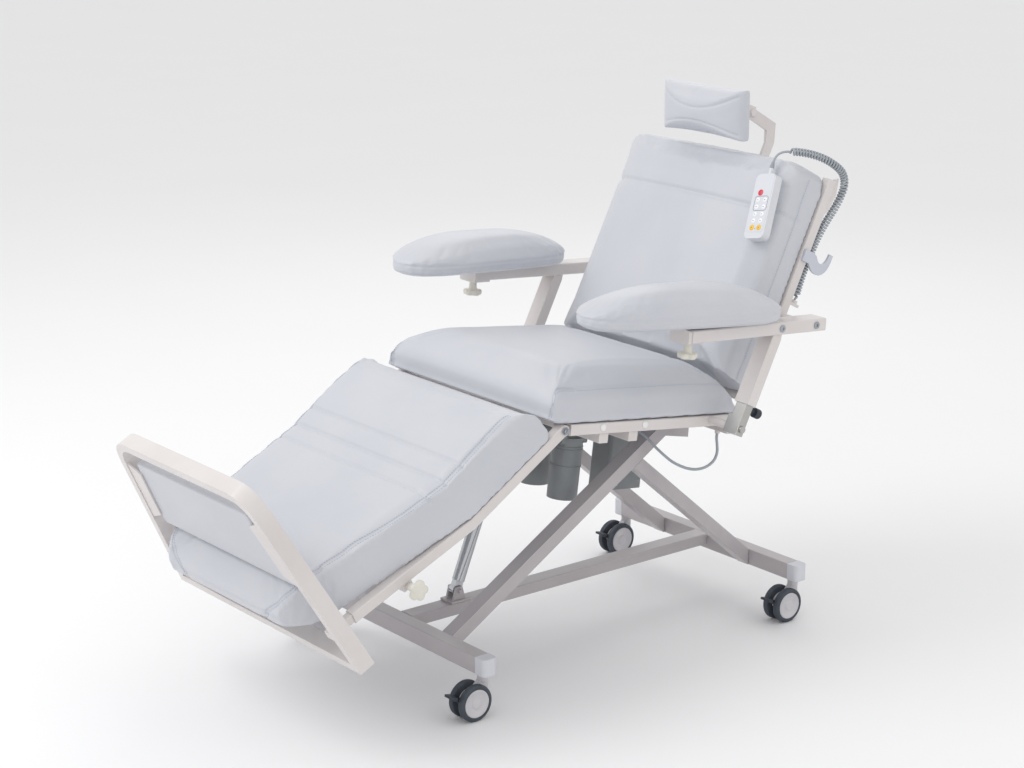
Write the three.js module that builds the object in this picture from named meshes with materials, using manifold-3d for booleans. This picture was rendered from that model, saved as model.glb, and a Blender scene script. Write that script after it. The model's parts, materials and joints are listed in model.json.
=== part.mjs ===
// Mobile electrically adjusted treatment recliner, in millimetres, +Z up, foot end towards -Y.
import * as THREE from 'three';
import { mergeVertices } from 'three/addons/utils/BufferGeometryUtils.js';
import Module from 'manifold-3d';

const wasm = await Module();
wasm.setup();

// ---------------------------------------------------------------- driving dimensions
const GAP = 0.3;                    // clearance between pieces that touch
const SIDES = [{ side: 'left', sign: 1 }, { side: 'right', sign: -1 }];

// base
const BEAM_HALF = 318;              // half length of a cross beam over its end caps
const BEAM_DEPTH = 36;
const BEAM_HEIGHT = 38;
const BEAM_TOP = 132;
const REAR_BEAM_Y = 901;            // front face of the rear beam; the front beam starts at 0
const CAP_LENGTH = 30;
const CAP_CORNER = 11;
const SPINE_WIDTH = 42;
const SPINE_HEIGHT = 27;
const LEG_OUTER_X = 164;            // outer faces of the welded side frames
const LEG_WIDTH = 36;
const LEG_THICK = 30;
const LONG_LEG_ANGLE = 31.4;
const LONG_LEG_LENGTH = 722;
const SHORT_LEG_ANGLE = 40.5;
const GUSSET_THICK = 8;

// castors
const STEM_X = 290;
const WHEEL_RADIUS = 40;
const WHEEL_TRAIL = 32;
const WHEEL_SIDES = 24;
const TYRE_WIDTH = 16;
const FORK_WIDTH = 14;
const FORK_CLEAR = 1.5;
const AXLE_RADIUS = 6;
const STEM_RADIUS = 9;
const PEDAL_SHANK = 5;
const PEDAL_HALF = 14;

// seat
const RAIL = 24;                    // square section of seat, leg and back rails
const RAIL_OUTER_X = 290;
const RAIL_INNER_X = RAIL_OUTER_X - RAIL;
const SEAT_TILT = 7.5;
const LEG_HINGE_Y = 236;
const LEG_HINGE_Z = 573;
const BACK_PIVOT_S = 520;           // along the seat rail from the leg hinge
const BACK_PIVOT_N = 8;
const SEAT_RAIL_START = 16;
const SEAT_RAIL_END = 500;
const CROSS_HALF = 283;
const CROSS_DEPTH = 25;
const CROSS_HEIGHT = 22;
const CROSS_AT = [115, 198, 488];   // centres of the three cross tubes under the rails
const FRONT_TUBE_AT = 42;
const HINGE_LUG = 7;
const SEAT_PIVOT_DROP = 62;         // seat pivot below the rail centre, under the rear cross tube
const LUG_X = 112;
const SEAT_LUG_THICK = 8;
const PIVOT_PIN = 7;
const CUSHION_HALF = 293;
const SEAT_CUSHION_FRONT = -45;
const SEAT_CUSHION_REAR = 496;
const SEAT_SIDE_HEIGHT = 70;
const SEAT_CROWN = 108;
const CUSHION_BASE = RAIL / 2 + 1;

// leg rest
const LEG_SLOPE = 32.5;
const LEG_BEND_AT = 285;
const LEG_BEND = 8.5;
const LOWER_RAIL = 322;
const TUBE_WALL = 2.5;
const LEG_WAIST = 262;              // half width of the leg cushion where the foot frame crosses it
const LEG_END = 140;                // half length of the straight part of its far end
const LEG_CUSHION_THICK = 100;      // over the rail tops, at the crown
const LEG_CUSHION_TOP = 46;         // start of the leg cushion, along the rail from the hinge
const LEG_CUSHION_FOOT = 444;       // its far end, along the lower rails from the bend
const LEG_LEVER = 68;
const LEG_LEVER_REST = 10;

// foot frame
const FOOT_LEAN = 118.5;
const FOOT_HEIGHT = 431;
const FOOT_HALF_BOTTOM = 340;
const FOOT_HALF_TOP = 252;
const FOOT_CORNER = 62;
const FOOT_TUBE = 20;
const FOOT_DEPTH = 36;
const FOOT_BELOW_RAIL = 79;        // frame bottom below the point where the rails meet it
const FOOT_OUT = 46;
const FOOT_TUBE_INSIDE = 190;
const BOARD_BOTTOM = 195;
const BOARD_HEIGHT = 180;
const BOARD_THICK = 32;
const BOARD_SIDE_GAP = 30;

// back rest
const BACK_LEAN = 63;
const BACK_RAIL_LENGTH = 555;
const BACK_CUSHION_LOW = 42;
const BACK_CUSHION_RAKE = 32;       // its front bottom edge is this much higher than its rear one
const BACK_CUSHION_HIGH = 562;
const BACK_CUSHION_THICK = 115;
const BACK_SHOULDER = 14;           // how far its face falls back towards its sides
const BACK_CORNER = 50;
const BACK_CUSHION_HALF = 286;
const BACK_TUBES_AT = [40, 300, 490];
const BACK_LEVER = 75;
const BACK_LEVER_REST = 38;
const ARM_PIN_AT = 233.6;           // armrest link pins, along the back rail from its pivot

// arm rests
const ARM_BAR_X0 = 344;
const ARM_BAR_WIDTH = 50;
const ARM_BAR_HEIGHT = 28;
const ARM_BAR_WALL = 4;
const ARM_BAR_FRONT = 262;          // front end of the bar ahead of the post pin
const ARM_BAR_REAR = 134;
const ARM_BAR_SLOPE = 4.8;
const ARM_LINK = 104.3;             // between the two link pins, on the bar and on the seat
const POST_DEPTH = 28;
const POST_CLEAR = 0.8;
const BRACKET_LENGTH = 74;
const STUB_RADIUS = 9;
const STUB_REACH = 344;
const PAD_LENGTH = 505;
const PAD_WIDTH = 164;
const PAD_FRONT_WIDTH = 136;
const PAD_THICK = 78;
const PAD_SWIVEL = 6;
const PAD_LIFT = 5;
const PAD_RIM = 24;
const PAD_AHEAD = 10;
const CLAMP_WIDTH = 46;
const CLAMP_DEPTH = 44;
const CLAMP_HEIGHT = 30;
const STAR_RADIUS = 22;
const STAR_HEIGHT = 20;
const CLAMP_AT = 250;               // pad swivel axis ahead of the post pin
const PAD_OUT = -26;
const PLUNGER_AT = 46;
const LEG_TUBE_AT = 50;
const LOWER_TUBE_AT = 40;
const KNOB_AT = 186;

// drives
const CLEVIS_Y = 168;
const CLEVIS_RISE = 25;
const TILT_TOP_S = 85;
const TILT_TOP_N = -46;
const ROD_RADIUS = 9;
const PUSH_TUBE_RADIUS = 14;
const HOUSING_RADIUS = 21;
const EYE_WIDTH = 16;
const MOTOR_RADIUS = 34;
const LEG_DRIVE_X = 55;
const LEG_DRIVE_S = 268;
const BACK_DRIVE_X = -72;
const BACK_DRIVE_S = 184;
const DRIVE_N = -66;
const MOTOR_DROP = 150;
const BOX_WIDTH = 66;
const BOX_DEPTH = 106;
const BOX_BOTTOM = -212;
const BOX_AT = 404;
const BOX_X = 18;
const CHEEK = 6;
const BORE_CLEAR = 1.6;
const LEVER_THICK = 8;
const DRIVE_TUBE = 168;
const DRIVE_ROD_START = 104;
const BACK_TUBE = 236;
const BACK_ROD_START = 150;
const TILT_HOUSING = 190;
const TILT_TUBE_SHORT = 110;
const TILT_STROKE = 62;

// head rest
const HEAD_BAR_THICK = 8;
const HEAD_BAR_WIDTH = 26;
const HEAD_BAR_BACK = 58;           // bar centre behind the back rails
const HEAD_PIVOT_U = 666;
const HEAD_PIVOT_N = 36;
const PILLOW_WIDTH = 270;
const PILLOW_HEIGHT = 120;
const PILLOW_THICK = 96;
const PILLOW_U = 622;
const PILLOW_N = 166;

// handset and cords
const HANDSET_WIDTH = 56;
const HANDSET_LENGTH = 150;
const HANDSET_THICK = 22;
const HANDSET_X = 246;
const HANDSET_U = 436;
const HANDSET_TURN = 11;
const HANDSET_STAND = 8;
const LEAD_RADIUS = 2.6;
const COIL_RADIUS = 9.5;
const CABLE_RADIUS = 3.2;
const GLAND_RADIUS = 6;
const GROMMET_RADIUS = 8;

// cord routes, in the frames of the back and of the seat
const HANDSET_LEAD = [
  [228.6, -133, 526], [227.4, -133, 532], [226.6, -133, 540], [226.4, -132, 549], [227.4, -130, 557],
  [230, -126, 564], [233.6, -121, 569], [237.4, -115.6, 572.6],
];
const HANDSET_COIL = [
  [238, -114.8, 573.2], [245, -101, 579], [253, -86, 584], [262, -69, 588], [271, -52, 590],
  [280, -34, 590],
  [286, -16, 588], [289, 2, 585], [290, 17, 580], [290, 31, 569], [289, 40, 551], [287, 42, 530],
  [285, 40, 505],
  [283, 35, 480], [281, 30, 452], [279, 27, 424], [278, 26, 396], [277, 26, 368], [276, 27, 340],
  [276, 29, 312], [276, 31, 294], [276, 32, 280],
];
const SEAT_CABLE = [
  [240, 490, -42.6], [240, 490, -52], [240, 494, -68], [240, 497, -86], [239, 492, -104], [237, 474, -118],
  [233, 452, -124], [229, 430, -123], [224, 408, -117], [217, 386, -107], [207, 366, -92], [193, 348, -74],
  [174, 337, -57], [150, 333, -48], [124, 338, -47], [100, 354, -52], [82, 367, -58], [70, 370, -59],
  [59.6, 370, -59],
];

// ---------------------------------------------------------------- materials
const finish = (color, roughness, metalness) => ({ color, roughness, metalness });
const POWDER_COAT = finish('#dcd3d1', 0.42, 0);
const BASE_COAT = finish('#b9b2b5', 0.42, 0);
const CAP_PLASTIC = finish('#c6cad2', 0.45, 0);
const UPHOLSTERY = finish('#d5d9e2', 0.5, 0);
const TYRE = finish('#3f444d', 0.7, 0);
const CASTOR_SHELL = finish('#b4b1ae', 0.5, 0);
const PEDAL = finish('#2f3542', 0.5, 0);
const MOTOR_GREY = finish('#6f7375', 0.55, 0);
const IVORY = finish('#d8d7ce', 0.4, 0);
const STAINLESS = finish('#bfc1c4', 0.25, 1);
const HOOK_GREY = finish('#cfd2d6', 0.4, 0);
const CORD_GREY = finish('#a9aeb3', 0.5, 0);

// ---------------------------------------------------------------- helpers
const deg = THREE.MathUtils.degToRad;

function toSolid(geometry) {
  const bare = geometry.clone();
  bare.deleteAttribute('normal');
  bare.deleteAttribute('uv');
  const merged = mergeVertices(bare, 1e-3);
  const vertProperties = new Float32Array(merged.attributes.position.array);
  const triVerts = new Uint32Array(merged.index.array);
  return new wasm.Manifold(new wasm.Mesh({ numProp: 3, vertProperties, triVerts }));
}

function toGeometry(solid) {
  const mesh = solid.getMesh();
  const geometry = new THREE.BufferGeometry();
  geometry.setAttribute('position', new THREE.BufferAttribute(mesh.vertProperties, 3));
  geometry.setIndex(new THREE.BufferAttribute(mesh.triVerts, 1));
  geometry.computeVertexNormals();
  return geometry;
}

function join(...geometries) {
  const solids = geometries.map(toSolid);
  return toGeometry(solids.reduce((whole, solid) => whole.add(solid)));
}

function cut(geometry, ...tools) {
  return toGeometry(tools.map(toSolid).reduce((rest, tool) => rest.subtract(tool), toSolid(geometry)));
}

function overlap(first, second) {
  return toGeometry(toSolid(first).intersect(toSolid(second)));
}

function box(x0, x1, y0, y1, z0, z1) {
  const geometry = new THREE.BoxGeometry(x1 - x0, y1 - y0, z1 - z0);
  return geometry.translate((x0 + x1) / 2, (y0 + y1) / 2, (z0 + z1) / 2);
}

// A rounded rectangle as a Shape, centred on (0, 0).
function roundedShape(width, height, radius) {
  const shape = new THREE.Shape();
  const [w, h] = [width / 2, height / 2];
  shape.moveTo(-w + radius, -h);
  shape.lineTo(w - radius, -h);
  shape.absarc(w - radius, -h + radius, radius, -Math.PI / 2, 0);
  shape.absarc(w - radius, h - radius, radius, 0, Math.PI / 2);
  shape.absarc(-w + radius, h - radius, radius, Math.PI / 2, Math.PI);
  shape.absarc(-w + radius, -h + radius, radius, Math.PI, Math.PI * 1.5);
  return shape;
}

function polygonShape(points) {
  return new THREE.Shape(points.map(([a, b]) => new THREE.Vector2(a, b)));
}

// Extrudes a shape drawn in (y, z) along x, from x0 to x1.
function alongX(shape, x0, x1, curveSegments = 3) {
  const geometry = new THREE.ExtrudeGeometry(shape, { depth: x1 - x0, bevelEnabled: false, curveSegments });
  return geometry.applyMatrix4(new THREE.Matrix4().set(0, 0, 1, x0, 1, 0, 0, 0, 0, 1, 0, 0, 0, 0, 0, 1));
}

// Extrudes a shape drawn in (x, z) along y, from y0 to y1.
function alongY(shape, y0, y1, curveSegments = 3) {
  const geometry = new THREE.ExtrudeGeometry(shape, { depth: y1 - y0, bevelEnabled: false, curveSegments });
  return geometry.applyMatrix4(new THREE.Matrix4().set(1, 0, 0, 0, 0, 0, -1, y1, 0, 1, 0, 0, 0, 0, 0, 1));
}

// Extrudes a shape drawn in (x, y) along z, from z0 to z1.
function alongZ(shape, z0, z1, curveSegments = 3) {
  const geometry = new THREE.ExtrudeGeometry(shape, { depth: z1 - z0, bevelEnabled: false, curveSegments });
  return geometry.translate(0, 0, z0);
}

function barX(x0, x1, y, z, depth, height, radius = 3) {
  return alongX(roundedShape(depth, height, radius), x0, x1).translate(0, y, z);
}

function barY(y0, y1, x, z, width, height, radius = 3) {
  return alongY(roundedShape(width, height, radius), y0, y1).translate(x, 0, z);
}

function barZ(z0, z1, x, y, width, depth, radius = 3) {
  return alongZ(roundedShape(width, depth, radius), z0, z1).translate(x, y, 0);
}

function rodX(x0, x1, y, z, radius, segments = 16) {
  const geometry = new THREE.CylinderGeometry(radius, radius, x1 - x0, segments);
  return geometry.rotateZ(-Math.PI / 2).translate((x0 + x1) / 2, y, z);
}

function rodY(y0, y1, x, z, radius, segments = 16) {
  return new THREE.CylinderGeometry(radius, radius, y1 - y0, segments).translate(x, (y0 + y1) / 2, z);
}

function rodZ(z0, z1, x, y, radius, segments = 16) {
  const geometry = new THREE.CylinderGeometry(radius, radius, z1 - z0, segments);
  return geometry.rotateX(Math.PI / 2).translate(x, y, (z0 + z1) / 2);
}

// A five-lobed hand knob with its stem along +z, the knob's far face at z = 0.
function starKnob(height, stemRadius, stemLength) {
  const lobes = 5;
  const shape = new THREE.Shape();
  const steps = 30;
  for (let i = 0; i < steps; i += 1) {
    const angle = (i / steps) * Math.PI * 2;
    const radius = STAR_RADIUS * (0.86 + 0.14 * Math.cos(lobes * angle));
    const point = [radius * Math.cos(angle), radius * Math.sin(angle)];
    if (i === 0) shape.moveTo(...point);
    else shape.lineTo(...point);
  }
  return join(alongZ(shape, 0, height), rodZ(height - 1, height + stemLength, 0, 0, stemRadius, 12));
}

// A padded block: a shape in (x, y) extruded along z with rounded rims.
function padded(shape, z0, z1, rim, curveSegments = 4) {
  const geometry = new THREE.ExtrudeGeometry(shape, {
    depth: z1 - z0 - 2 * rim, bevelEnabled: true, bevelThickness: rim, bevelSize: rim,
    bevelOffset: -rim, bevelSegments: 3, curveSegments,
  });
  return geometry.translate(0, 0, z0 + rim);
}

// A round cord along a list of [x, y, z] points.
function cord(points, radius, sides, steps) {
  const shape = new THREE.Shape();
  shape.absarc(0, 0, radius, 0, Math.PI * 2);
  const path = new THREE.CatmullRomCurve3(points.map((point) => new THREE.Vector3(...point)));
  return new THREE.ExtrudeGeometry(shape, { extrudePath: path, steps, curveSegments: sides / 2 });
}

const chair = new THREE.Group();

function place(name, geometry, look, group = chair) {
  const mesh = new THREE.Mesh(geometry, new THREE.MeshStandardMaterial(look));
  mesh.name = name;
  group.add(mesh);
  return mesh;
}

function frameAt(y, z, turn, parent = chair) {
  const group = new THREE.Group();
  group.position.set(0, y, z);
  group.rotation.x = deg(turn);
  parent.add(group);
  return group;
}

// A point given in a frame turned by an angle in the side plane, as [y, z] outside it.
function fromFrame([originY, originZ], turn, [along, up]) {
  const [c, s] = [Math.cos(deg(turn)), Math.sin(deg(turn))];
  return [originY + along * c - up * s, originZ + along * s + up * c];
}

// The same, from outside into the frame.
function intoFrame([originY, originZ], turn, [y, z]) {
  const [c, s] = [Math.cos(deg(turn)), Math.sin(deg(turn))];
  return [(y - originY) * c + (z - originZ) * s, -(y - originY) * s + (z - originZ) * c];
}

// ---------------------------------------------------------------- key points in the side plane
const LEG_HINGE = [LEG_HINGE_Y, LEG_HINGE_Z];
const BACK_PIVOT = fromFrame(LEG_HINGE, -SEAT_TILT, [BACK_PIVOT_S, BACK_PIVOT_N]);
const SEAT_PIVOT = fromFrame(LEG_HINGE, -SEAT_TILT, [CROSS_AT[2], -SEAT_PIVOT_DROP]);
const BEAM_MID = BEAM_TOP - BEAM_HEIGHT / 2;
const POST_PIVOT = fromFrame(BACK_PIVOT, -ARM_BAR_SLOPE, [-ARM_LINK, 0]);
const LINK_RISE = fromFrame([0, 0], BACK_LEAN, [ARM_PIN_AT, 0]);
const POST_TOP = [POST_PIVOT[0] + LINK_RISE[0], POST_PIVOT[1] + LINK_RISE[1]];
const CLEVIS = [CLEVIS_Y, BEAM_TOP + CLEVIS_RISE];

// ---------------------------------------------------------------- base
function buildBase() {
  const barHalf = BEAM_HALF - CAP_LENGTH - GAP;
  const beamYs = [BEAM_DEPTH / 2, REAR_BEAM_Y + BEAM_DEPTH / 2];
  ['front', 'rear'].forEach((end, i) => {
    place(`${end}_beam`, barX(-barHalf, barHalf, beamYs[i], BEAM_MID, BEAM_DEPTH, BEAM_HEIGHT), BASE_COAT);
    for (const { side, sign } of SIDES) {
      const outline = roundedShape(2 * CAP_LENGTH, BEAM_DEPTH, CAP_CORNER);
      const block = alongZ(outline, BEAM_TOP - BEAM_HEIGHT, BEAM_TOP);
      const inner = box(-2 * CAP_LENGTH, 0, -BEAM_DEPTH, BEAM_DEPTH, 0, 2 * BEAM_TOP);
      const cap = place(`beam_cap_${end}_${side}`, cut(block, inner), CAP_PLASTIC);
      cap.position.set(sign * (BEAM_HALF - CAP_LENGTH), beamYs[i], 0);
      cap.scale.x = sign;
    }
  });
  const spineZ = BEAM_TOP - SPINE_HEIGHT / 2;
  const spine = barY(BEAM_DEPTH + GAP, REAR_BEAM_Y - GAP, 0, spineZ, SPINE_WIDTH, SPINE_HEIGHT);
  place('centre_spine', spine, BASE_COAT);

  const plateHalf = EYE_WIDTH / 2 + 1;
  const plate = polygonShape([[-18, 0], [18, 0], [9, CLEVIS_RISE + 8], [-9, CLEVIS_RISE + 8]]);
  const foot = BEAM_TOP + GAP;
  const cheeks = [-1, 1].map((s) => {
    const x0 = s > 0 ? plateHalf : -plateHalf - 5;
    return alongX(plate, x0, x0 + 5).translate(0, CLEVIS_Y, foot);
  });
  const sole = box(-SPINE_WIDTH / 2, SPINE_WIDTH / 2, CLEVIS_Y - 26, CLEVIS_Y + 26, foot, foot + 5);
  const bolt = rodX(-plateHalf - 13, plateHalf + 13, CLEVIS[0], CLEVIS[1], 5, 12);
  place('actuator_clevis', join(sole, ...cheeks, bolt), BASE_COAT);
}

function buildSideFrames() {
  const start = [BEAM_DEPTH + GAP, BEAM_MID];
  const halfThick = LEG_THICK / 2;
  const longEnd = fromFrame(start, LONG_LEG_ANGLE, [LONG_LEG_LENGTH, 0]);
  const slant = halfThick / Math.cos(deg(LONG_LEG_ANGLE));
  const corner = (up) => fromFrame(start, LONG_LEG_ANGLE, [LONG_LEG_LENGTH, up]);
  const longLeg = polygonShape([
    [start[0], start[1] - slant], corner(-halfThick), corner(halfThick), [start[0], start[1] + slant],
  ]);
  const rearFace = REAR_BEAM_Y - GAP;
  const shortSlope = Math.tan(deg(SHORT_LEG_ANGLE));
  const longSlope = Math.tan(deg(LONG_LEG_ANGLE));
  const shortSlant = halfThick / Math.cos(deg(SHORT_LEG_ANGLE));
  const under = slant + GAP / Math.cos(deg(LONG_LEG_ANGLE));
  // where an edge of the short leg, raised by a given amount, meets the underside of the long leg
  const meet = (raise) => {
    const y = (start[1] + raise + shortSlope * rearFace - start[1] + under + longSlope * start[0])
      / (shortSlope + longSlope);
    return [y, start[1] + raise + shortSlope * (rearFace - y)];
  };
  const shortLeg = polygonShape([
    meet(-shortSlant), [rearFace, start[1] - shortSlant], [rearFace, start[1] + shortSlant],
      meet(shortSlant),
  ]);
  const inner = LEG_OUTER_X - LEG_WIDTH;
  for (const { side, sign } of SIDES) {
    const tip = fromFrame(longEnd, LONG_LEG_ANGLE, [-46, 0]);
    const gusset = polygonShape([
      [tip[0], tip[1] - 8], [SEAT_PIVOT[0] + 14, SEAT_PIVOT[1] - 16],
      [SEAT_PIVOT[0] + 16, SEAT_PIVOT[1] + 12],
      [longEnd[0] - 4, longEnd[1] + 6],
    ]);
    const lug = alongX(gusset, inner, inner + GUSSET_THICK);
    const pin = rodX(LUG_X - 4, inner + 1, SEAT_PIVOT[0], SEAT_PIVOT[1], PIVOT_PIN, 16);
    const leg = place(`long_leg_${side}`, join(alongX(longLeg, inner, LEG_OUTER_X), lug, pin), BASE_COAT);
    leg.scale.x = sign;
    const brace = place(`short_leg_${side}`, alongX(shortLeg, inner, LEG_OUTER_X), BASE_COAT);
    brace.scale.x = sign;
  }
}

function buildCastor(name, x, y) {
  const group = new THREE.Group();
  group.position.set(x, y, 0);
  chair.add(group);
  const top = BEAM_TOP - BEAM_HEIGHT - GAP;
  const axleY = -WHEEL_TRAIL;
  const hood = new THREE.Shape();
  hood.moveTo(axleY - 24, WHEEL_RADIUS - 4);
  hood.absarc(axleY, WHEEL_RADIUS, 26, Math.PI, Math.PI * 0.42, true);
  hood.lineTo(-STEM_RADIUS, top - 12);
  hood.lineTo(STEM_RADIUS, top - 12);
  hood.lineTo(STEM_RADIUS, WHEEL_RADIUS + 6);
  hood.lineTo(axleY + 12, WHEEL_RADIUS - 16);
  hood.lineTo(axleY - 12, WHEEL_RADIUS - 18);
  const halfFork = FORK_WIDTH / 2;
  const web = alongX(hood, -halfFork, halfFork, 6);
  const neck = rodZ(WHEEL_RADIUS + 37, top, 0, 0, STEM_RADIUS + 3, 16);
  const bore = rodX(-halfFork - 1, halfFork + 1, axleY, WHEEL_RADIUS, AXLE_RADIUS + 1, 16);
  place(`${name}_fork`, cut(join(web, neck), bore), CASTOR_SHELL, group);

  const inside = halfFork + FORK_CLEAR;
  const apothem = WHEEL_RADIUS / Math.cos(Math.PI / WHEEL_SIDES);
  const wheel = (x0) => rodX(x0, x0 + TYRE_WIDTH, 0, 0, apothem,
    WHEEL_SIDES).rotateX(Math.PI / WHEEL_SIDES);
  const axle = rodX(-inside - 2, inside + 2, 0, 0, AXLE_RADIUS, 12);
  const wheels = join(wheel(inside), wheel(-inside - TYRE_WIDTH), axle);
  wheels.translate(0, axleY, WHEEL_RADIUS);
  place(`${name}_wheels`, wheels, TYRE, group);

  const heel = axleY - 27;
  const toe = axleY - WHEEL_RADIUS - 3;
  const shank = polygonShape([[heel, WHEEL_RADIUS + 2], [heel, WHEEL_RADIUS + 14],
    [toe - 2, WHEEL_RADIUS + 20],
    [toe - 2, WHEEL_RADIUS + 13]]);
  const paddle = polygonShape([[toe, WHEEL_RADIUS + 12], [toe + 1, WHEEL_RADIUS + 21],
    [toe - 12, WHEEL_RADIUS + 24],
    [toe - 13, WHEEL_RADIUS + 19]]);
  const pedal = join(alongX(shank, -PEDAL_SHANK, PEDAL_SHANK), alongX(paddle, -PEDAL_HALF, PEDAL_HALF));
  place(`${name}_pedal`, pedal, PEDAL, group);
}

// ---------------------------------------------------------------- seat
function buildSeat() {
  const seat = frameAt(LEG_HINGE_Y, LEG_HINGE_Z, -SEAT_TILT);
  const half = RAIL / 2;
  const parts = [];
  const pivotHoles = [];
  for (const sign of [1, -1]) {
    const mid = sign * (RAIL_OUTER_X - half);
    parts.push(barY(SEAT_RAIL_START, SEAT_RAIL_END, mid, 0, RAIL, RAIL));
    const lugIn = RAIL_INNER_X - GAP - HINGE_LUG;
    const [a, b] = sign > 0 ? [lugIn, lugIn + HINGE_LUG] : [-lugIn - HINGE_LUG, -lugIn];
    const [c, d] = sign > 0 ? [lugIn, RAIL_INNER_X + 2] : [-RAIL_INNER_X - 2, -lugIn];
    const frontLug = barY(-half + 2, SEAT_RAIL_START + 60, (a + b) / 2, 0, HINGE_LUG, RAIL - 4, 2);
    const [lugEnd, lugTop] = [BACK_PIVOT_S + 12, BACK_PIVOT_N + 12];
    const rearLug = alongX(polygonShape([
      [SEAT_RAIL_END - 60, -half + 1], [SEAT_RAIL_END, -half + 1], [lugEnd, lugTop - 24], [lugEnd, lugTop],
      [SEAT_RAIL_END + 6, lugTop], [SEAT_RAIL_END, half - 1], [SEAT_RAIL_END - 60, half - 1],
    ]), a, b);
    parts.push(frontLug, box(c, d, SEAT_RAIL_START + 20, SEAT_RAIL_START + 55, -8, 8));
    parts.push(rearLug, box(c, d, SEAT_RAIL_END - 50, SEAT_RAIL_END - 10, -8, 8));
    const stub = intoFrame(LEG_HINGE, -SEAT_TILT, POST_PIVOT);
    const [e, f] = sign > 0 ? [RAIL_OUTER_X - 4, STUB_REACH] : [-STUB_REACH, -RAIL_OUTER_X + 4];
    parts.push(rodX(e, f, stub[0], stub[1], STUB_RADIUS, 20));
    const [g, h] = sign > 0 ? [LUG_X, LUG_X + SEAT_LUG_THICK] : [-LUG_X - SEAT_LUG_THICK, -LUG_X];
    const cheek = polygonShape([
      [CROSS_AT[2] - 14, -half - 4], [CROSS_AT[2] - 14, -SEAT_PIVOT_DROP - 4],
      [CROSS_AT[2] - 8, -SEAT_PIVOT_DROP - 14], [CROSS_AT[2] + 8, -SEAT_PIVOT_DROP - 14],
      [CROSS_AT[2] + 14, -SEAT_PIVOT_DROP - 4], [CROSS_AT[2] + 14, -half - 4],
    ]);
    parts.push(alongX(cheek, g, h));
    pivotHoles.push(rodX(g - 1, h + 1, CROSS_AT[2], -SEAT_PIVOT_DROP, PIVOT_PIN + 0.6, 20));
  }
  const [glandX, glandS, cableTop] = SEAT_CABLE[0];
  parts.push(rodZ(cableTop + 2 * GAP, -half - CROSS_HEIGHT + 2, glandX, glandS, GLAND_RADIUS, 12));
  for (const at of CROSS_AT) {
    parts.push(barX(-CROSS_HALF, CROSS_HALF, at, -half - CROSS_HEIGHT / 2 + 1, CROSS_DEPTH,
      CROSS_HEIGHT + 2, 2));
  }
  parts.push(barX(-RAIL_INNER_X - 2, RAIL_INNER_X + 2, FRONT_TUBE_AT, 0, CROSS_DEPTH, RAIL - 2, 2));
  const strapZ = -half - CROSS_HEIGHT;
  parts.push(box(BOX_X - 18, BOX_X + 18, CROSS_AT[1], CROSS_AT[2], strapZ, strapZ + 6));
  // hangers for the three drives
  const hangerHalf = EYE_WIDTH / 2 - 2;
  const hanger = (x, outline) => alongX(polygonShape(outline), x - hangerHalf, x + hangerHalf);
  const [crossLow, crossFoot] = [CROSS_AT[1] - 8, -half - CROSS_HEIGHT];
  parts.push(hanger(LEG_DRIVE_X, [
    [crossLow, -half - 2], [CROSS_AT[1] + 12, -half - 2], [LEG_DRIVE_S + 9, -half - 8],
    [LEG_DRIVE_S + 9, DRIVE_N - 10], [LEG_DRIVE_S - 9, DRIVE_N - 10], [LEG_DRIVE_S - 9, crossFoot - 4],
    [crossLow, crossFoot - 4],
  ]));
  parts.push(hanger(BACK_DRIVE_X, [
    [BACK_DRIVE_S - 8, -half - 2], [BACK_DRIVE_S + 10, -half - 2], [BACK_DRIVE_S + 9, DRIVE_N - 10],
    [BACK_DRIVE_S - 9, DRIVE_N - 10],
  ]));
  parts.push(hanger(0, [
    [CROSS_AT[0] - 10, -half - 2], [CROSS_AT[0] + 10, -half - 2], [TILT_TOP_S + 9, TILT_TOP_N - 10],
    [TILT_TOP_S - 9, TILT_TOP_N - 10],
  ]));
  place('seat_frame', cut(join(...parts), ...pivotHoles), POWDER_COAT, seat);

  const profile = new THREE.Shape();
  profile.moveTo(SEAT_CUSHION_FRONT + 4, CUSHION_BASE + 10);
  profile.lineTo(SEAT_CUSHION_FRONT + 30, CUSHION_BASE);
  profile.lineTo(SEAT_CUSHION_REAR - 6, CUSHION_BASE);
  profile.lineTo(SEAT_CUSHION_REAR, CUSHION_BASE + 12);
  const rearTop = SEAT_CUSHION_REAR - 90;
  profile.quadraticCurveTo(SEAT_CUSHION_REAR - 30, SEAT_SIDE_HEIGHT + 20, rearTop, SEAT_CROWN - 2);
  profile.quadraticCurveTo(rearTop / 3, SEAT_CROWN + 12, SEAT_CUSHION_FRONT + 60, SEAT_CROWN - 6);
  profile.quadraticCurveTo(SEAT_CUSHION_FRONT, SEAT_SIDE_HEIGHT + 6, SEAT_CUSHION_FRONT, CUSHION_BASE + 26);
  const length = [SEAT_CUSHION_FRONT - 1, SEAT_CUSHION_REAR + 1];
  place('seat_cushion', cushion(profile, SEAT_CROWN + 20, SEAT_SIDE_HEIGHT, length), UPHOLSTERY, seat);

  const boxTop = strapZ - GAP;
  const control = barZ(BOX_BOTTOM, boxTop, BOX_X, BOX_AT, BOX_WIDTH, BOX_DEPTH, 8);
  const [cableEnd, inletS, inletN] = SEAT_CABLE[SEAT_CABLE.length - 1];
  const inlet = rodX(BOX_X + BOX_WIDTH / 2 - 2, cableEnd - 2 * GAP, inletS, inletN, GLAND_RADIUS, 12);
  place('control_box', join(control, inlet), MOTOR_GREY, seat);
  buildSeatDrives(seat);
}

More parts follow.
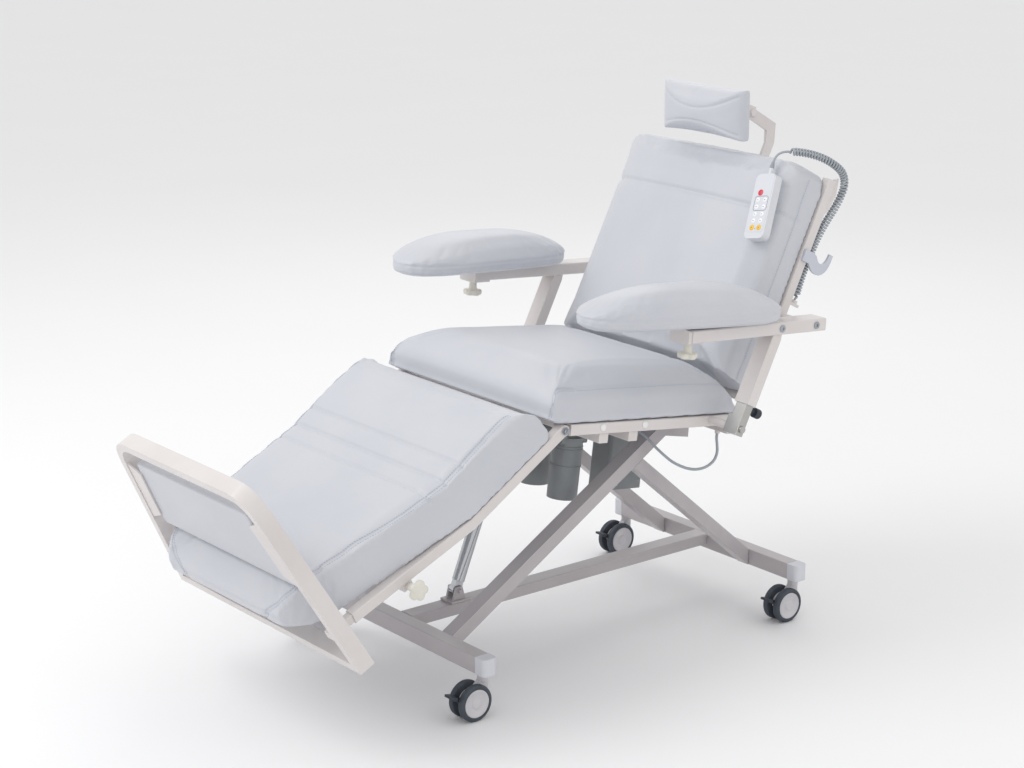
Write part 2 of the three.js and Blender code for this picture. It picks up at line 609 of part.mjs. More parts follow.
// A cushion from its side profile in (y, z), crowned across its width: sideHeight at the seams.
function cushion(profile, crownHeight, sideHeight, [y0, y1]) {
  const front = new THREE.Shape();
  front.moveTo(-CUSHION_HALF + 4, 0);
  front.lineTo(CUSHION_HALF - 4, 0);
  front.lineTo(CUSHION_HALF, 24);
  front.lineTo(CUSHION_HALF, sideHeight - 12);
  front.quadraticCurveTo(CUSHION_HALF - 2, sideHeight + 12, CUSHION_HALF - 40, sideHeight + 24);
  front.quadraticCurveTo(CUSHION_HALF / 2, crownHeight, 0, crownHeight);
  front.quadraticCurveTo(-CUSHION_HALF / 2, crownHeight, -CUSHION_HALF + 40, sideHeight + 24);
  front.quadraticCurveTo(-CUSHION_HALF + 2, sideHeight + 12, -CUSHION_HALF, sideHeight - 12);
  front.lineTo(-CUSHION_HALF, 24);
  return overlap(alongX(profile, -CUSHION_HALF - 1, CUSHION_HALF + 1, 6), alongY(front, y0, y1, 6));
}

// ---------------------------------------------------------------- drives
// A linear drive lying along +y from its tail pin at the origin: tube, gearbox and hanging motor.
function driveHousing(tubeEnd) {
  const gearboxStart = 14;
  const gearboxEnd = 88;
  const gearbox = barY(gearboxStart, gearboxEnd, 0, -2, 46, 44, 5);
  const tube = rodY(gearboxEnd - 4, tubeEnd, 0, 0, HOUSING_RADIUS, 20);
  const motor = rodZ(-MOTOR_DROP, -10, 0, (gearboxStart + gearboxEnd) / 2, MOTOR_RADIUS, 28);
  const cheek = (x0) => box(x0, x0 + CHEEK, -9, gearboxStart + 6, -9, 9);
  const cheeks = [cheek(EYE_WIDTH / 2), cheek(-EYE_WIDTH / 2 - CHEEK)];
  const bore = rodY(gearboxEnd - 14, tubeEnd + 1, 0, 0, ROD_RADIUS + BORE_CLEAR, 16);
  return cut(join(gearbox, tube, motor, ...cheeks), bore);
}

// The rod of a drive, from inside its tube to the fork that straddles a lever.
function driveRod(start, forkAt) {
  const rod = rodY(start, forkAt - 26, 0, 0, ROD_RADIUS, 16);
  const block = box(-EYE_WIDTH / 2 - CHEEK, EYE_WIDTH / 2 + CHEEK, forkAt - 30, forkAt + 12, -11, 11);
  const slot = box(-EYE_WIDTH / 2, EYE_WIDTH / 2, forkAt - 18, forkAt + 13, -12, 12);
  return cut(join(rod, block), slot);
}

function buildSeatDrives(seat) {
  const legDrive = new THREE.Group();
  legDrive.position.set(LEG_DRIVE_X, LEG_DRIVE_S, DRIVE_N);
  legDrive.rotation.z = Math.PI;
  seat.add(legDrive);
  place('leg_drive', driveHousing(DRIVE_TUBE), MOTOR_GREY, legDrive);
  const legPin = [LEG_LEVER * Math.sin(deg(LEG_LEVER_REST)), -LEG_LEVER * Math.cos(deg(LEG_LEVER_REST))];
  place('leg_drive_rod', driveRod(DRIVE_ROD_START, LEG_DRIVE_S - legPin[0]), STAINLESS, legDrive);

  const backPin = [
    BACK_PIVOT_S + BACK_LEVER * Math.sin(deg(BACK_LEVER_REST)),
    BACK_PIVOT_N - BACK_LEVER * Math.cos(deg(BACK_LEVER_REST)),
  ];
  const reach = [backPin[0] - BACK_DRIVE_S, backPin[1] - DRIVE_N];
  const backDrive = new THREE.Group();
  backDrive.position.set(BACK_DRIVE_X, BACK_DRIVE_S, DRIVE_N);
  backDrive.rotation.x = Math.atan2(reach[1], reach[0]);
  seat.add(backDrive);
  place('back_drive', driveHousing(BACK_TUBE), MOTOR_GREY, backDrive);
  place('back_drive_rod', driveRod(BACK_ROD_START, Math.hypot(...reach)), STAINLESS, backDrive);
}

function buildTiltDrive() {
  const top = fromFrame(LEG_HINGE, -SEAT_TILT, [TILT_TOP_S, TILT_TOP_N]);
  const reach = [top[0] - CLEVIS[0], top[1] - CLEVIS[1]];
  const length = Math.hypot(...reach);
  const strut = frameAt(CLEVIS[0], CLEVIS[1], THREE.MathUtils.radToDeg(Math.atan2(reach[1],
    reach[0])) - 90);
  const eye = rodX(-EYE_WIDTH / 2, EYE_WIDTH / 2, 0, 0, 13, 20);
  const shank = box(-EYE_WIDTH / 2, EYE_WIDTH / 2, -10, 10, 0, 24);
  const tube = rodZ(20, length - TILT_TUBE_SHORT, 0, 0, PUSH_TUBE_RADIUS, 20);
  const hole = rodX(-EYE_WIDTH, EYE_WIDTH, 0, 0, 5.8, 16);
  place('tilt_push_tube', cut(join(eye, shank, tube), hole), BASE_COAT, strut);

  const bottom = length - TILT_HOUSING;
  const sleeve = rodZ(bottom, length - 30, 0, 0, PUSH_TUBE_RADIUS + BORE_CLEAR + 4, 20);
  const head = barZ(length - 90, length - 24, 0, 0, 52, 48, 6);
  const motor = rodZ(bottom + 10, length - 80, -MOTOR_RADIUS - 8, 26, 26, 24);
  const neck = barZ(length - 90, length - 60, -24, 14, 60, 44, 5);
  const cheek = (x0) => box(x0, x0 + CHEEK, -9, 9, length - 30, length + 9);
  const cheeks = [cheek(EYE_WIDTH / 2), cheek(-EYE_WIDTH / 2 - CHEEK)];
  const bore = rodZ(bottom - 1, length - TILT_TUBE_SHORT + TILT_STROKE, 0, 0,
    PUSH_TUBE_RADIUS + BORE_CLEAR, 20);
  place('tilt_drive', cut(join(sleeve, head, neck, motor, ...cheeks), bore), MOTOR_GREY, strut);
}

// ---------------------------------------------------------------- leg rest and foot frame
function buildLegRest() {
  const leg = frameAt(LEG_HINGE_Y, LEG_HINGE_Z, LEG_SLOPE);
  const lower = new THREE.Group();
  lower.position.set(0, -LEG_BEND_AT, 0);
  lower.rotation.x = -deg(LEG_BEND);
  leg.add(lower);
  lower.updateMatrix();
  const mid = RAIL_OUTER_X - RAIL / 2;
  const parts = [];
  const bores = [];
  for (const sign of [1, -1]) {
    const x = sign * mid;
    parts.push(barY(-LEG_BEND_AT - 1, 0, x, 0, RAIL, RAIL));
    parts.push(rodX(x - RAIL / 2, x + RAIL / 2, 0, 0, RAIL / 2, 24));
    parts.push(barY(-LOWER_RAIL, 1, x, 0, RAIL, RAIL).applyMatrix4(lower.matrix));
    const inside = RAIL - 2 * TUBE_WALL;
    bores.push(barY(-LOWER_RAIL - 1, -LOWER_RAIL + FOOT_TUBE_INSIDE + 20, x, 0, inside, inside, 1)
      .applyMatrix4(lower.matrix));
    const boss = join(
      box(x - 9, x + 9, -KNOB_AT - 12, -KNOB_AT + 12, -RAIL / 2 - 16, -RAIL / 2 + 1),
      rodX(x, x + sign * 18, -KNOB_AT, -RAIL / 2 - 8, 7, 12),
    );
    if (sign > 0) parts.push(boss.applyMatrix4(lower.matrix));
  }
  parts.push(barX(-RAIL_INNER_X - 2, RAIL_INNER_X + 2, -LEG_TUBE_AT, 0, CROSS_DEPTH, RAIL - 2, 2));
  parts.push(barX(-RAIL_INNER_X - 2, RAIL_INNER_X + 2, -LOWER_TUBE_AT, 0, CROSS_DEPTH, RAIL - 4, 2)
    .applyMatrix4(lower.matrix));
  const turn = LEG_SLOPE + SEAT_TILT;
  const pin = fromFrame([0, 0], -turn, [
    LEG_LEVER * Math.sin(deg(LEG_LEVER_REST)), -LEG_LEVER * Math.cos(deg(LEG_LEVER_REST))]);
  const lever = polygonShape([
    [-LEG_TUBE_AT - 8, 4], [-LEG_TUBE_AT - 8, -8], [pin[0] - 9, pin[1] - 9], [pin[0] + 9, pin[1] - 5],
    [pin[0] + 9, pin[1] + 6], [-LEG_TUBE_AT + 12, -4],
  ]);
  parts.push(alongX(lever, LEG_DRIVE_X - LEVER_THICK / 2, LEG_DRIVE_X + LEVER_THICK / 2));
  place('leg_frame', cut(join(...parts), ...bores), POWDER_COAT, leg);

  const bend = (y, z) => fromFrame([-LEG_BEND_AT, 0], -LEG_BEND, [y, z]);
  const crown = CUSHION_BASE + LEG_CUSHION_THICK;
  const profile = new THREE.Shape();
  profile.moveTo(-LEG_CUSHION_TOP - 16, CUSHION_BASE);
  profile.lineTo(-LEG_CUSHION_TOP, CUSHION_BASE + 8);
  profile.lineTo(-LEG_CUSHION_TOP, crown - 50);
  profile.quadraticCurveTo(-LEG_CUSHION_TOP - 4, crown - 4, -LEG_CUSHION_TOP - 60, crown + 2);
  profile.quadraticCurveTo(-LEG_BEND_AT / 2, crown + 6, -LEG_BEND_AT, crown);
  profile.lineTo(...bend(-LEG_CUSHION_FOOT + 130, crown - 4));
  profile.quadraticCurveTo(...bend(-LEG_CUSHION_FOOT + 10, crown - 12),
    ...bend(-LEG_CUSHION_FOOT, crown - 56));
  profile.lineTo(...bend(-LEG_CUSHION_FOOT + 10, CUSHION_BASE + 20));
  profile.lineTo(...bend(-LEG_CUSHION_FOOT + 60, CUSHION_BASE));
  profile.lineTo(...bend(0, CUSHION_BASE));
  const slab = alongX(profile, -CUSHION_HALF - 1, CUSHION_HALF + 1, 6);
  const plan = new THREE.Shape();
  const far = bend(-LEG_CUSHION_FOOT, 0)[0] - 30;
  const waist = bend(-LOWER_RAIL, 0)[0];
  plan.moveTo(CUSHION_HALF, 10);
  plan.lineTo(-CUSHION_HALF, 10);
  plan.lineTo(-CUSHION_HALF, -LEG_BEND_AT);
  plan.lineTo(-LEG_WAIST, waist);
  plan.bezierCurveTo(-LEG_WAIST + 14, far + 60, -LEG_END - 60, far + 14, -LEG_END, far + 8);
  plan.quadraticCurveTo(0, far - 8, LEG_END, far + 8);
  plan.bezierCurveTo(LEG_END + 60, far + 14, LEG_WAIST - 14, far + 60, LEG_WAIST, waist);
  plan.lineTo(CUSHION_HALF, -LEG_BEND_AT);
  place('leg_cushion', overlap(slab, alongZ(plan, -50, 300, 6)), UPHOLSTERY, leg);
  buildFootFrame(leg, lower);
}

function buildFootFrame(leg, lower) {
  const inside = RAIL - 2 * TUBE_WALL - 2 * GAP;
  const mid = RAIL_OUTER_X - RAIL / 2;
  const foot = new THREE.Group();
  lower.add(foot);
  const tilt = FOOT_LEAN - 90 - (LEG_SLOPE - LEG_BEND);
  const plane = new THREE.Group();
  plane.position.set(0, -LOWER_RAIL - FOOT_OUT, 0);
  plane.rotation.x = deg(tilt);
  plane.updateMatrix();
  const [z0, z1] = [-FOOT_BELOW_RAIL, FOOT_HEIGHT - FOOT_BELOW_RAIL];
  const outline = (inset) => {
    const shape = new THREE.Shape();
    const corner = FOOT_CORNER - inset;
    const slope = (FOOT_HALF_BOTTOM - FOOT_HALF_TOP) / FOOT_HEIGHT;
    const half = (z) => FOOT_HALF_BOTTOM - inset - (z - z0) * slope;
    shape.moveTo(half(z0 + inset), z0 + inset);
    shape.lineTo(half(z1 - FOOT_CORNER), z1 - FOOT_CORNER);
    shape.quadraticCurveTo(half(z1 - inset) - 2, z1 - inset, half(z1) - corner, z1 - inset);
    shape.lineTo(-half(z1) + corner, z1 - inset);
    shape.quadraticCurveTo(-half(z1 - inset) + 2, z1 - inset, -half(z1 - FOOT_CORNER), z1 - FOOT_CORNER);
    shape.lineTo(-half(z0 + inset), z0 + inset);
    return shape;
  };
  const deep = FOOT_DEPTH / 2;
  const ring = cut(alongY(outline(0), -deep, deep, 6), alongY(outline(FOOT_TUBE), -deep - 1, deep + 1, 6));
  const slope = (FOOT_HALF_BOTTOM - FOOT_HALF_TOP) / FOOT_HEIGHT;
  const halfAt = (z) => FOOT_HALF_BOTTOM - FOOT_TUBE - (z - z0) * slope;
  const parts = [ring];
  const [b0, b1] = [z0 + BOARD_BOTTOM, z0 + BOARD_BOTTOM + BOARD_HEIGHT];
  for (const sign of [1, -1]) {
    const lugPlate = polygonShape([
      [sign * (halfAt(b0 + 10) + 2), b0 + 10], [sign * (halfAt(b0 + 30) - BOARD_SIDE_GAP - 12), b0 + 30],
      [sign * (halfAt(b1 - 30) - BOARD_SIDE_GAP - 12), b1 - 30], [sign * (halfAt(b1 - 10) + 2), b1 - 10],
    ]);
    parts.push(alongY(sign > 0 ? lugPlate : polygonShape(lugPlate.getPoints().reverse().map((p) => [p.x,
      p.y])),
      -deep + 2, -deep + 6));
    const link = box(sign > 0 ? mid - 8 : -halfAt(0) - 4, sign > 0 ? halfAt(0) + 4 : -mid + 8,
      -deep + 4, deep - 4, -9, 9);
    parts.push(link);
  }
  const posed = parts.map((part) => part.applyMatrix4(plane.matrix));
  for (const sign of [1, -1]) {
    const reach = -LOWER_RAIL + FOOT_TUBE_INSIDE;
    posed.push(barY(-LOWER_RAIL - FOOT_OUT - 4, reach, sign * mid, 0, inside, inside, 1));
  }
  place('foot_frame', join(...posed), POWDER_COAT, foot);

  const board = new THREE.Shape();
  const [half0, half1] = [halfAt(b0) - BOARD_SIDE_GAP, halfAt(b1) - BOARD_SIDE_GAP];
  board.moveTo(half0, b0);
  board.lineTo(half1, b1 - 6);
  board.lineTo(half1 - 6, b1);
  board.lineTo(-half1 + 6, b1);
  board.lineTo(-half1, b1 - 6);
  board.lineTo(-half0, b0);
  const panel = alongY(board, -deep + 6 + GAP, -deep + 6 + BOARD_THICK).applyMatrix4(plane.matrix);
  place('footboard', panel, UPHOLSTERY, foot);

  const knob = starKnob(STAR_HEIGHT, 5, 12).rotateY(-Math.PI / 2);
  knob.translate(mid + 18 + GAP + STAR_HEIGHT + 12, -KNOB_AT, -RAIL / 2 - 8);
  place('foot_knob', knob, IVORY, lower);
}

// ---------------------------------------------------------------- back rest
function buildBack() {
  const back = frameAt(BACK_PIVOT[0], BACK_PIVOT[1], BACK_LEAN - 90);
  const half = RAIL / 2;
  const mid = RAIL_OUTER_X - half;
  const parts = [];
  for (const sign of [1, -1]) {
    parts.push(barZ(0, BACK_RAIL_LENGTH, sign * mid, 0, RAIL, RAIL));
    parts.push(rodX(sign * mid - half, sign * mid + half, 0, 0, half, 24));
    const [a, b] = sign > 0 ? [RAIL_OUTER_X - 3, ARM_BAR_X0 - 1] : [-ARM_BAR_X0 + 1, -RAIL_OUTER_X + 3];
    parts.push(rodX(a, b, 0, ARM_PIN_AT, STUB_RADIUS - 2, 16));
  }
  for (const at of BACK_TUBES_AT) parts.push(barX(-RAIL_INNER_X - 2, RAIL_INNER_X + 2, 0, at, RAIL - 4,
    CROSS_DEPTH, 2));
  const toLever = BACK_LEAN + SEAT_TILT - 90;
  const pin = fromFrame([0, 0], -toLever, [
    BACK_LEVER * Math.sin(deg(BACK_LEVER_REST)), -BACK_LEVER * Math.cos(deg(BACK_LEVER_REST))]);
  const lever = polygonShape([
    [-5, BACK_TUBES_AT[0]], [-6, 0], [pin[0] - 6, pin[1] - 4], [pin[0] + 2, pin[1] - 8],
    [pin[0] + 9, pin[1]],
    [12, 0], [9, BACK_TUBES_AT[0]],
  ]);
  parts.push(alongX(lever, BACK_DRIVE_X - LEVER_THICK / 2, BACK_DRIVE_X + LEVER_THICK / 2));
  // socket for the head rest bar, behind the two upper tubes
  const socketHalf = HEAD_BAR_THICK / 2 + GAP;
  const [s0, s1] = [HEAD_BAR_BACK - HEAD_BAR_WIDTH / 2 - GAP, HEAD_BAR_BACK + HEAD_BAR_WIDTH / 2 + GAP];
  const [low, high] = [BACK_TUBES_AT[2] - 70, BACK_TUBES_AT[2] + 22];
  const sleeve = box(-socketHalf - 3, socketHalf + 3, s0 - 3, s1 + 3, low, high);
  const standoff = box(-socketHalf - 3, socketHalf + 3, half - 6, s0, BACK_TUBES_AT[2] - 10,
    BACK_TUBES_AT[2] + 10);
  parts.push(sleeve, standoff);
  const plate = polygonShape([[6, 470], [20, 490], [26, 530], [16, 566], [6, 560]]);
  parts.push(alongX(plate, RAIL_OUTER_X - 8, RAIL_OUTER_X - 2));
  // ear and grommet that hold the lower end of the handset's coiled cord
  const [coilX, coilY, coilEnd] = HANDSET_COIL[HANDSET_COIL.length - 1];
  const ear = box(mid, coilX + GROMMET_RADIUS + 2, half - 2, coilY + GROMMET_RADIUS + 2, coilEnd - 14,
    coilEnd - 8);
  parts.push(ear, rodZ(coilEnd - 9, coilEnd - 2 * GAP, coilX, coilY, GROMMET_RADIUS, 16));
  const slot = box(-socketHalf, socketHalf, s0, s1, low - 1, high + 1);
  place('back_frame', cut(join(...parts), slot), POWDER_COAT, back);

  const rear = -half - 1;
  const front = rear - BACK_CUSHION_THICK;
  const plan = new THREE.Shape();
  const [z0, z1, w, r] = [BACK_CUSHION_LOW, BACK_CUSHION_HIGH, BACK_CUSHION_HALF, BACK_CORNER];
  plan.moveTo(-w + 12, z0);
  plan.lineTo(w - 12, z0);
  plan.lineTo(w, z0 + 14);
  plan.lineTo(w, z1 - r);
  plan.quadraticCurveTo(w, z1, w - r, z1);
  plan.lineTo(-w + r, z1);
  plan.quadraticCurveTo(-w, z1, -w, z1 - r);
  plan.lineTo(-w, z0 + 14);
  const section = new THREE.Shape();
  section.moveTo(-w, rear);
  const shoulder = front + BACK_SHOULDER;
  section.lineTo(-w, shoulder + 26);
  section.quadraticCurveTo(-w, shoulder + 4, -w + 50, shoulder);
  section.quadraticCurveTo(0, front - BACK_SHOULDER, w - 50, shoulder);
  section.quadraticCurveTo(w, shoulder + 4, w, shoulder + 26);
  section.lineTo(w, rear);
  const rake = alongX(polygonShape([
    [rear + 1, z0], [rear + 1, z1 + 1], [front - 12, z1 + 1], [front - 12, z0 + BACK_CUSHION_RAKE],
  ]), -w - 1, w + 1);
  const block = overlap(alongY(plan, front - 10, rear, 5), alongZ(section, z0 - 5, z1 + 5, 5));
  place('back_cushion', overlap(block, rake), UPHOLSTERY, back);

  const hook = new THREE.Shape();
  hook.moveTo(14, 362);
  hook.lineTo(14, 392);
  hook.lineTo(30, 386);
  hook.quadraticCurveTo(40, 372, 54, 376);
  hook.quadraticCurveTo(66, 382, 66, 404);
  hook.lineTo(78, 404);
  hook.quadraticCurveTo(82, 362, 56, 350);
  hook.quadraticCurveTo(34, 344, 14, 362);
  const blade = alongX(hook, RAIL_OUTER_X + GAP, RAIL_OUTER_X + GAP + 6, 6);
  const tab = box(RAIL_OUTER_X + GAP, RAIL_OUTER_X + GAP + 6, -10, 16, 364, 390);
  place('handset_hook', join(blade, tab), HOOK_GREY, back);
  buildHandset(back);
  buildHeadRest(back);
}

function buildHandset(back) {
  const rest = -RAIL / 2 - 1 - BACK_CUSHION_THICK + BACK_SHOULDER - HANDSET_STAND;
  const shell = alongY(roundedShape(HANDSET_WIDTH, HANDSET_LENGTH, 13), -HANDSET_THICK, 0, 4);
  const relief = rodZ(HANDSET_LENGTH / 2 - 1, HANDSET_LENGTH / 2 + 16, 0, -HANDSET_THICK / 2, 5, 10);
  const handset = place('handset', join(shell, relief), HOOK_GREY, back);
  handset.position.set(HANDSET_X, rest, HANDSET_U);
  handset.rotation.y = deg(-HANDSET_TURN);
}

function buildHeadRest(back) {
  const halfBar = HEAD_BAR_WIDTH / 2;
  const [n0, u0] = [HEAD_BAR_BACK, BACK_TUBES_AT[2]];
  const bar = polygonShape([
    [n0 - halfBar, u0 - 60], [n0 + halfBar, u0 - 60], [n0 + halfBar, HEAD_PIVOT_U - 34],
    [n0 + halfBar - 18, HEAD_PIVOT_U + 8], [-HEAD_PIVOT_N + 4, HEAD_PIVOT_U + 13],
    [-HEAD_PIVOT_N - 11, HEAD_PIVOT_U + 6], [-HEAD_PIVOT_N - 11, HEAD_PIVOT_U - 7],
    [-HEAD_PIVOT_N, HEAD_PIVOT_U - 13], [n0 - 25, HEAD_PIVOT_U - 18], [n0 - halfBar, HEAD_PIVOT_U - 44],
  ]);
  place('headrest_bracket', alongX(bar, -HEAD_BAR_THICK / 2, HEAD_BAR_THICK / 2), POWDER_COAT, back);

  const tilt = new THREE.Group();
  tilt.position.set(0, -HEAD_PIVOT_N, HEAD_PIVOT_U);
  tilt.rotation.x = deg(90 - BACK_LEAN);
  back.add(tilt);
  const centre = fromFrame([0, 0], -(90 - BACK_LEAN), [-(PILLOW_N - HEAD_PIVOT_N),
    PILLOW_U - HEAD_PIVOT_U]);
  const plateY = centre[0] + PILLOW_THICK / 2 + GAP;
  const cheekX = HEAD_BAR_THICK / 2 + GAP;
  const arm = (x0) => alongX(polygonShape([
    [plateY + 2, centre[1] - 10], [12, -12], [12, 12], [plateY + 2, centre[1] + 30],
  ]), x0, x0 + 5);
  const plate = box(-55, 55, plateY, plateY + 5, centre[1] - 38, centre[1] + 38);
  const bolt = rodX(-cheekX - 11, -cheekX - 4, 0, 0, 8, 12);
  const hub = rodX(cheekX + 4, cheekX + 11, 0, 0, 8, 12);
  place('headrest_arm', join(plate, arm(cheekX), arm(-cheekX - 5), bolt, hub), POWDER_COAT, tilt);

  const outline = new THREE.Shape();
  const [w, h] = [PILLOW_WIDTH / 2, PILLOW_HEIGHT / 2];
  outline.moveTo(-w, -h);
  outline.quadraticCurveTo(0, -h + 14, w, -h);
  outline.quadraticCurveTo(w - 10, 0, w, h);
  outline.quadraticCurveTo(0, h - 8, -w, h);
  outline.quadraticCurveTo(-w + 10, 0, -w, -h);
  const t = PILLOW_THICK / 2;
  const section = new THREE.Shape();
  section.moveTo(-w - 1, 0);
  section.quadraticCurveTo(-w + 20, -t, 0, -t);
  section.quadraticCurveTo(w - 20, -t, w + 1, 0);
  section.quadraticCurveTo(w - 20, t, 0, t);
  section.quadraticCurveTo(-w + 20, t, -w - 1, 0);
  const side = new THREE.Shape();
  side.moveTo(0, -h - 1);
  side.quadraticCurveTo(t, -h + 4, t, 0);
  side.quadraticCurveTo(t, h - 4, 0, h + 1);
  side.quadraticCurveTo(-t, h - 4, -t, 0);
  side.quadraticCurveTo(-t, -h + 4, 0, -h - 1);
  const pillow = overlap(overlap(alongY(outline, -t - 1, t + 1, 6), alongZ(section, -h - 2, h + 2, 6)),
    alongX(side, -w - 2, w + 2, 6));
  pillow.translate(0, centre[0] - 1, centre[1]);
  place('headrest_pad', pillow, UPHOLSTERY, tilt);
}

// ---------------------------------------------------------------- arm rests
function buildArm(side, sign) {
  const half = new THREE.Group();
  half.scale.x = sign;
  chair.add(half);
  const outerX = ARM_BAR_X0 + ARM_BAR_WIDTH;
  const midX = (ARM_BAR_X0 + outerX) / 2;
  const postWidth = ARM_BAR_WIDTH - 2 * ARM_BAR_WALL - 2 * POST_CLEAR;

  const post = frameAt(POST_PIVOT[0], POST_PIVOT[1], BACK_LEAN - 90, half);
  const inner = barZ(-15, BRACKET_LENGTH - 20, midX, 0, postWidth - 8, POST_DEPTH - 6, 2);
  const cheek = box(ARM_BAR_X0 + GAP, midX - 8, -11, 11, -15, 26);
  const bolt = rodX(midX, outerX - 4, 0, 0, 8, 12);
  place(`arm_bracket_${side}`, join(inner, cheek, bolt), STAINLESS, post);

  const d = POST_DEPTH / 2;
  const column = polygonShape([
    [-d, BRACKET_LENGTH - 20 + GAP], [d, BRACKET_LENGTH - 20 + GAP], [d, ARM_PIN_AT - 22],
    [9, ARM_PIN_AT - 6],
    [6, ARM_PIN_AT + 5], [0, ARM_PIN_AT + 8], [-6, ARM_PIN_AT + 5], [-9, ARM_PIN_AT - 6],
    [-d, ARM_PIN_AT - 22],
  ]);
  place(`arm_post_${side}`, alongX(column, midX - postWidth / 2, midX + postWidth / 2), POWDER_COAT, post);

  const stem = rodY(POST_DEPTH / 2 - 3 + GAP, POST_DEPTH / 2 + 22, midX, PLUNGER_AT, 5, 12);
  const mushroom = rodY(POST_DEPTH / 2 + 20, POST_DEPTH / 2 + 36, midX, PLUNGER_AT, 11, 20);
  place(`arm_plunger_${side}`, join(stem, mushroom), IVORY, post);

  const bar = frameAt(POST_TOP[0], POST_TOP[1], -ARM_BAR_SLOPE, half);
  const top = ARM_BAR_HEIGHT / 2;
  const rail = barY(-ARM_BAR_FRONT, ARM_BAR_REAR, midX, 0, ARM_BAR_WIDTH, ARM_BAR_HEIGHT, 4);
  const channel = box(ARM_BAR_X0 + ARM_BAR_WALL, outerX - ARM_BAR_WALL, -ARM_BAR_FRONT + 30,
    ARM_BAR_REAR - 5, -top - 1, top - 3.5);
  const clamp = barY(-CLAMP_AT - CLAMP_DEPTH / 2, -CLAMP_AT + CLAMP_DEPTH / 2, midX - 6, -1,
    CLAMP_WIDTH + 12,
    CLAMP_HEIGHT, 5);
  place(`arm_bar_${side}`, join(cut(rail, channel), clamp), POWDER_COAT, bar);

  const swivel = new THREE.Group();
  swivel.position.set(midX, -CLAMP_AT, 0);
  swivel.rotation.z = deg(-PAD_SWIVEL);
  bar.add(swivel);
  const rearHalf = PAD_WIDTH / 2;
  const frontHalf = PAD_FRONT_WIDTH / 2;
  const [y0, y1] = [-PAD_LENGTH / 2 - PAD_AHEAD, PAD_LENGTH / 2 - PAD_AHEAD];
  const plan = new THREE.Shape();
  plan.moveTo(0, y0);
  plan.bezierCurveTo(frontHalf * 0.9, y0, frontHalf * 1.1, y0 + 60, frontHalf * 1.16, y0 + 130);
  plan.quadraticCurveTo(rearHalf, y1 - 190, rearHalf, y1 - 110);
  plan.bezierCurveTo(rearHalf, y1 - 30, rearHalf * 0.62, y1, 0, y1);
  plan.bezierCurveTo(-rearHalf * 0.62, y1, -rearHalf, y1 - 30, -rearHalf, y1 - 110);
  plan.quadraticCurveTo(-rearHalf, y1 - 190, -frontHalf * 1.16, y0 + 130);
  plan.bezierCurveTo(-frontHalf * 1.1, y0 + 60, -frontHalf * 0.9, y0, 0, y0);
  const bottom = top + PAD_LIFT;
  place(`arm_pad_${side}`, padded(plan, bottom, bottom + PAD_THICK, PAD_RIM, 5).translate(PAD_OUT, 0,
    0), UPHOLSTERY, swivel);

  const knob = starKnob(STAR_HEIGHT, 7, 14);
  knob.translate(0, 0, -CLAMP_HEIGHT / 2 - 1 - GAP - STAR_HEIGHT - 14);
  const clampKnob = new THREE.Group();
  clampKnob.position.set(midX, -CLAMP_AT, 0);
  bar.add(clampKnob);
  place(`arm_knob_${side}`, knob, IVORY, clampKnob);
}

// ---------------------------------------------------------------- cords
function buildCords() {
  const back = frameAt(BACK_PIVOT[0], BACK_PIVOT[1], BACK_LEAN - 90);
  place('handset_lead', cord(HANDSET_LEAD, LEAD_RADIUS, 8, 12), CORD_GREY, back);
  place('handset_coil', cord(HANDSET_COIL, COIL_RADIUS, 10, 24), CORD_GREY, back);
  const seat = frameAt(LEG_HINGE_Y, LEG_HINGE_Z, -SEAT_TILT);
  place('seat_cable', cord(SEAT_CABLE, CABLE_RADIUS, 8, 26), CORD_GREY, seat);
}

buildBase();
buildSideFrames();
for (const { side, sign } of SIDES) {
  buildCastor(`castor_front_${side}`, sign * STEM_X, BEAM_DEPTH / 2);
  buildCastor(`castor_rear_${side}`, sign * STEM_X, REAR_BEAM_Y + BEAM_DEPTH / 2);
}
buildSeat();
buildTiltDrive();
buildLegRest();
buildBack();
for (const { side, sign } of SIDES) buildArm(side, sign);
buildCords();

// origin on the floor, under the middle of the overall box
chair.updateMatrixWorld(true);
const extent = new THREE.Box3().setFromObject(chair, true);
chair.position.y = -(extent.min.y + extent.max.y) / 2;

export default chair;
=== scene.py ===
"""Treatment recliner on castors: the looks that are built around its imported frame."""

import json
import logging
import math
from dataclasses import dataclass, field
from enum import Enum
from typing import Any, Callable, Iterable

import bmesh
import bpy
import numpy as np
from mathutils import Matrix, Vector, kdtree
from mathutils.bvhtree import BVHTree


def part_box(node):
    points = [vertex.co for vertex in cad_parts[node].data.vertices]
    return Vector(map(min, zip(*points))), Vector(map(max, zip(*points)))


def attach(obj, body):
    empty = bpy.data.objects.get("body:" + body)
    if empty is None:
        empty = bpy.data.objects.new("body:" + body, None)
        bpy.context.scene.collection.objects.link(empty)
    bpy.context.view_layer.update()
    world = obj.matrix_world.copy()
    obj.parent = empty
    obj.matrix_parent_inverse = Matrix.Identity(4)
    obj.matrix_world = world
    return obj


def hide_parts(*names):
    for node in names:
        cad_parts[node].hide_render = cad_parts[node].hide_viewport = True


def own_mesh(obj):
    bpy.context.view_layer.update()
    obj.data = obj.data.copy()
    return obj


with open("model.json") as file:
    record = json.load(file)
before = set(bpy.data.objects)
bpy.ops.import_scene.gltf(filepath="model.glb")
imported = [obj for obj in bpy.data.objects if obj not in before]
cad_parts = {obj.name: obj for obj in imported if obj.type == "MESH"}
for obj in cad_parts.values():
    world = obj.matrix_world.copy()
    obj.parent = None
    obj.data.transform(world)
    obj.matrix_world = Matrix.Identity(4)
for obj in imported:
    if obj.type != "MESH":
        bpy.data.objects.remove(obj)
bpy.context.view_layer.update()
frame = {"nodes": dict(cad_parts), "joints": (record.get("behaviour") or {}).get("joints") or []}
LOG = logging.getLogger("recliner")
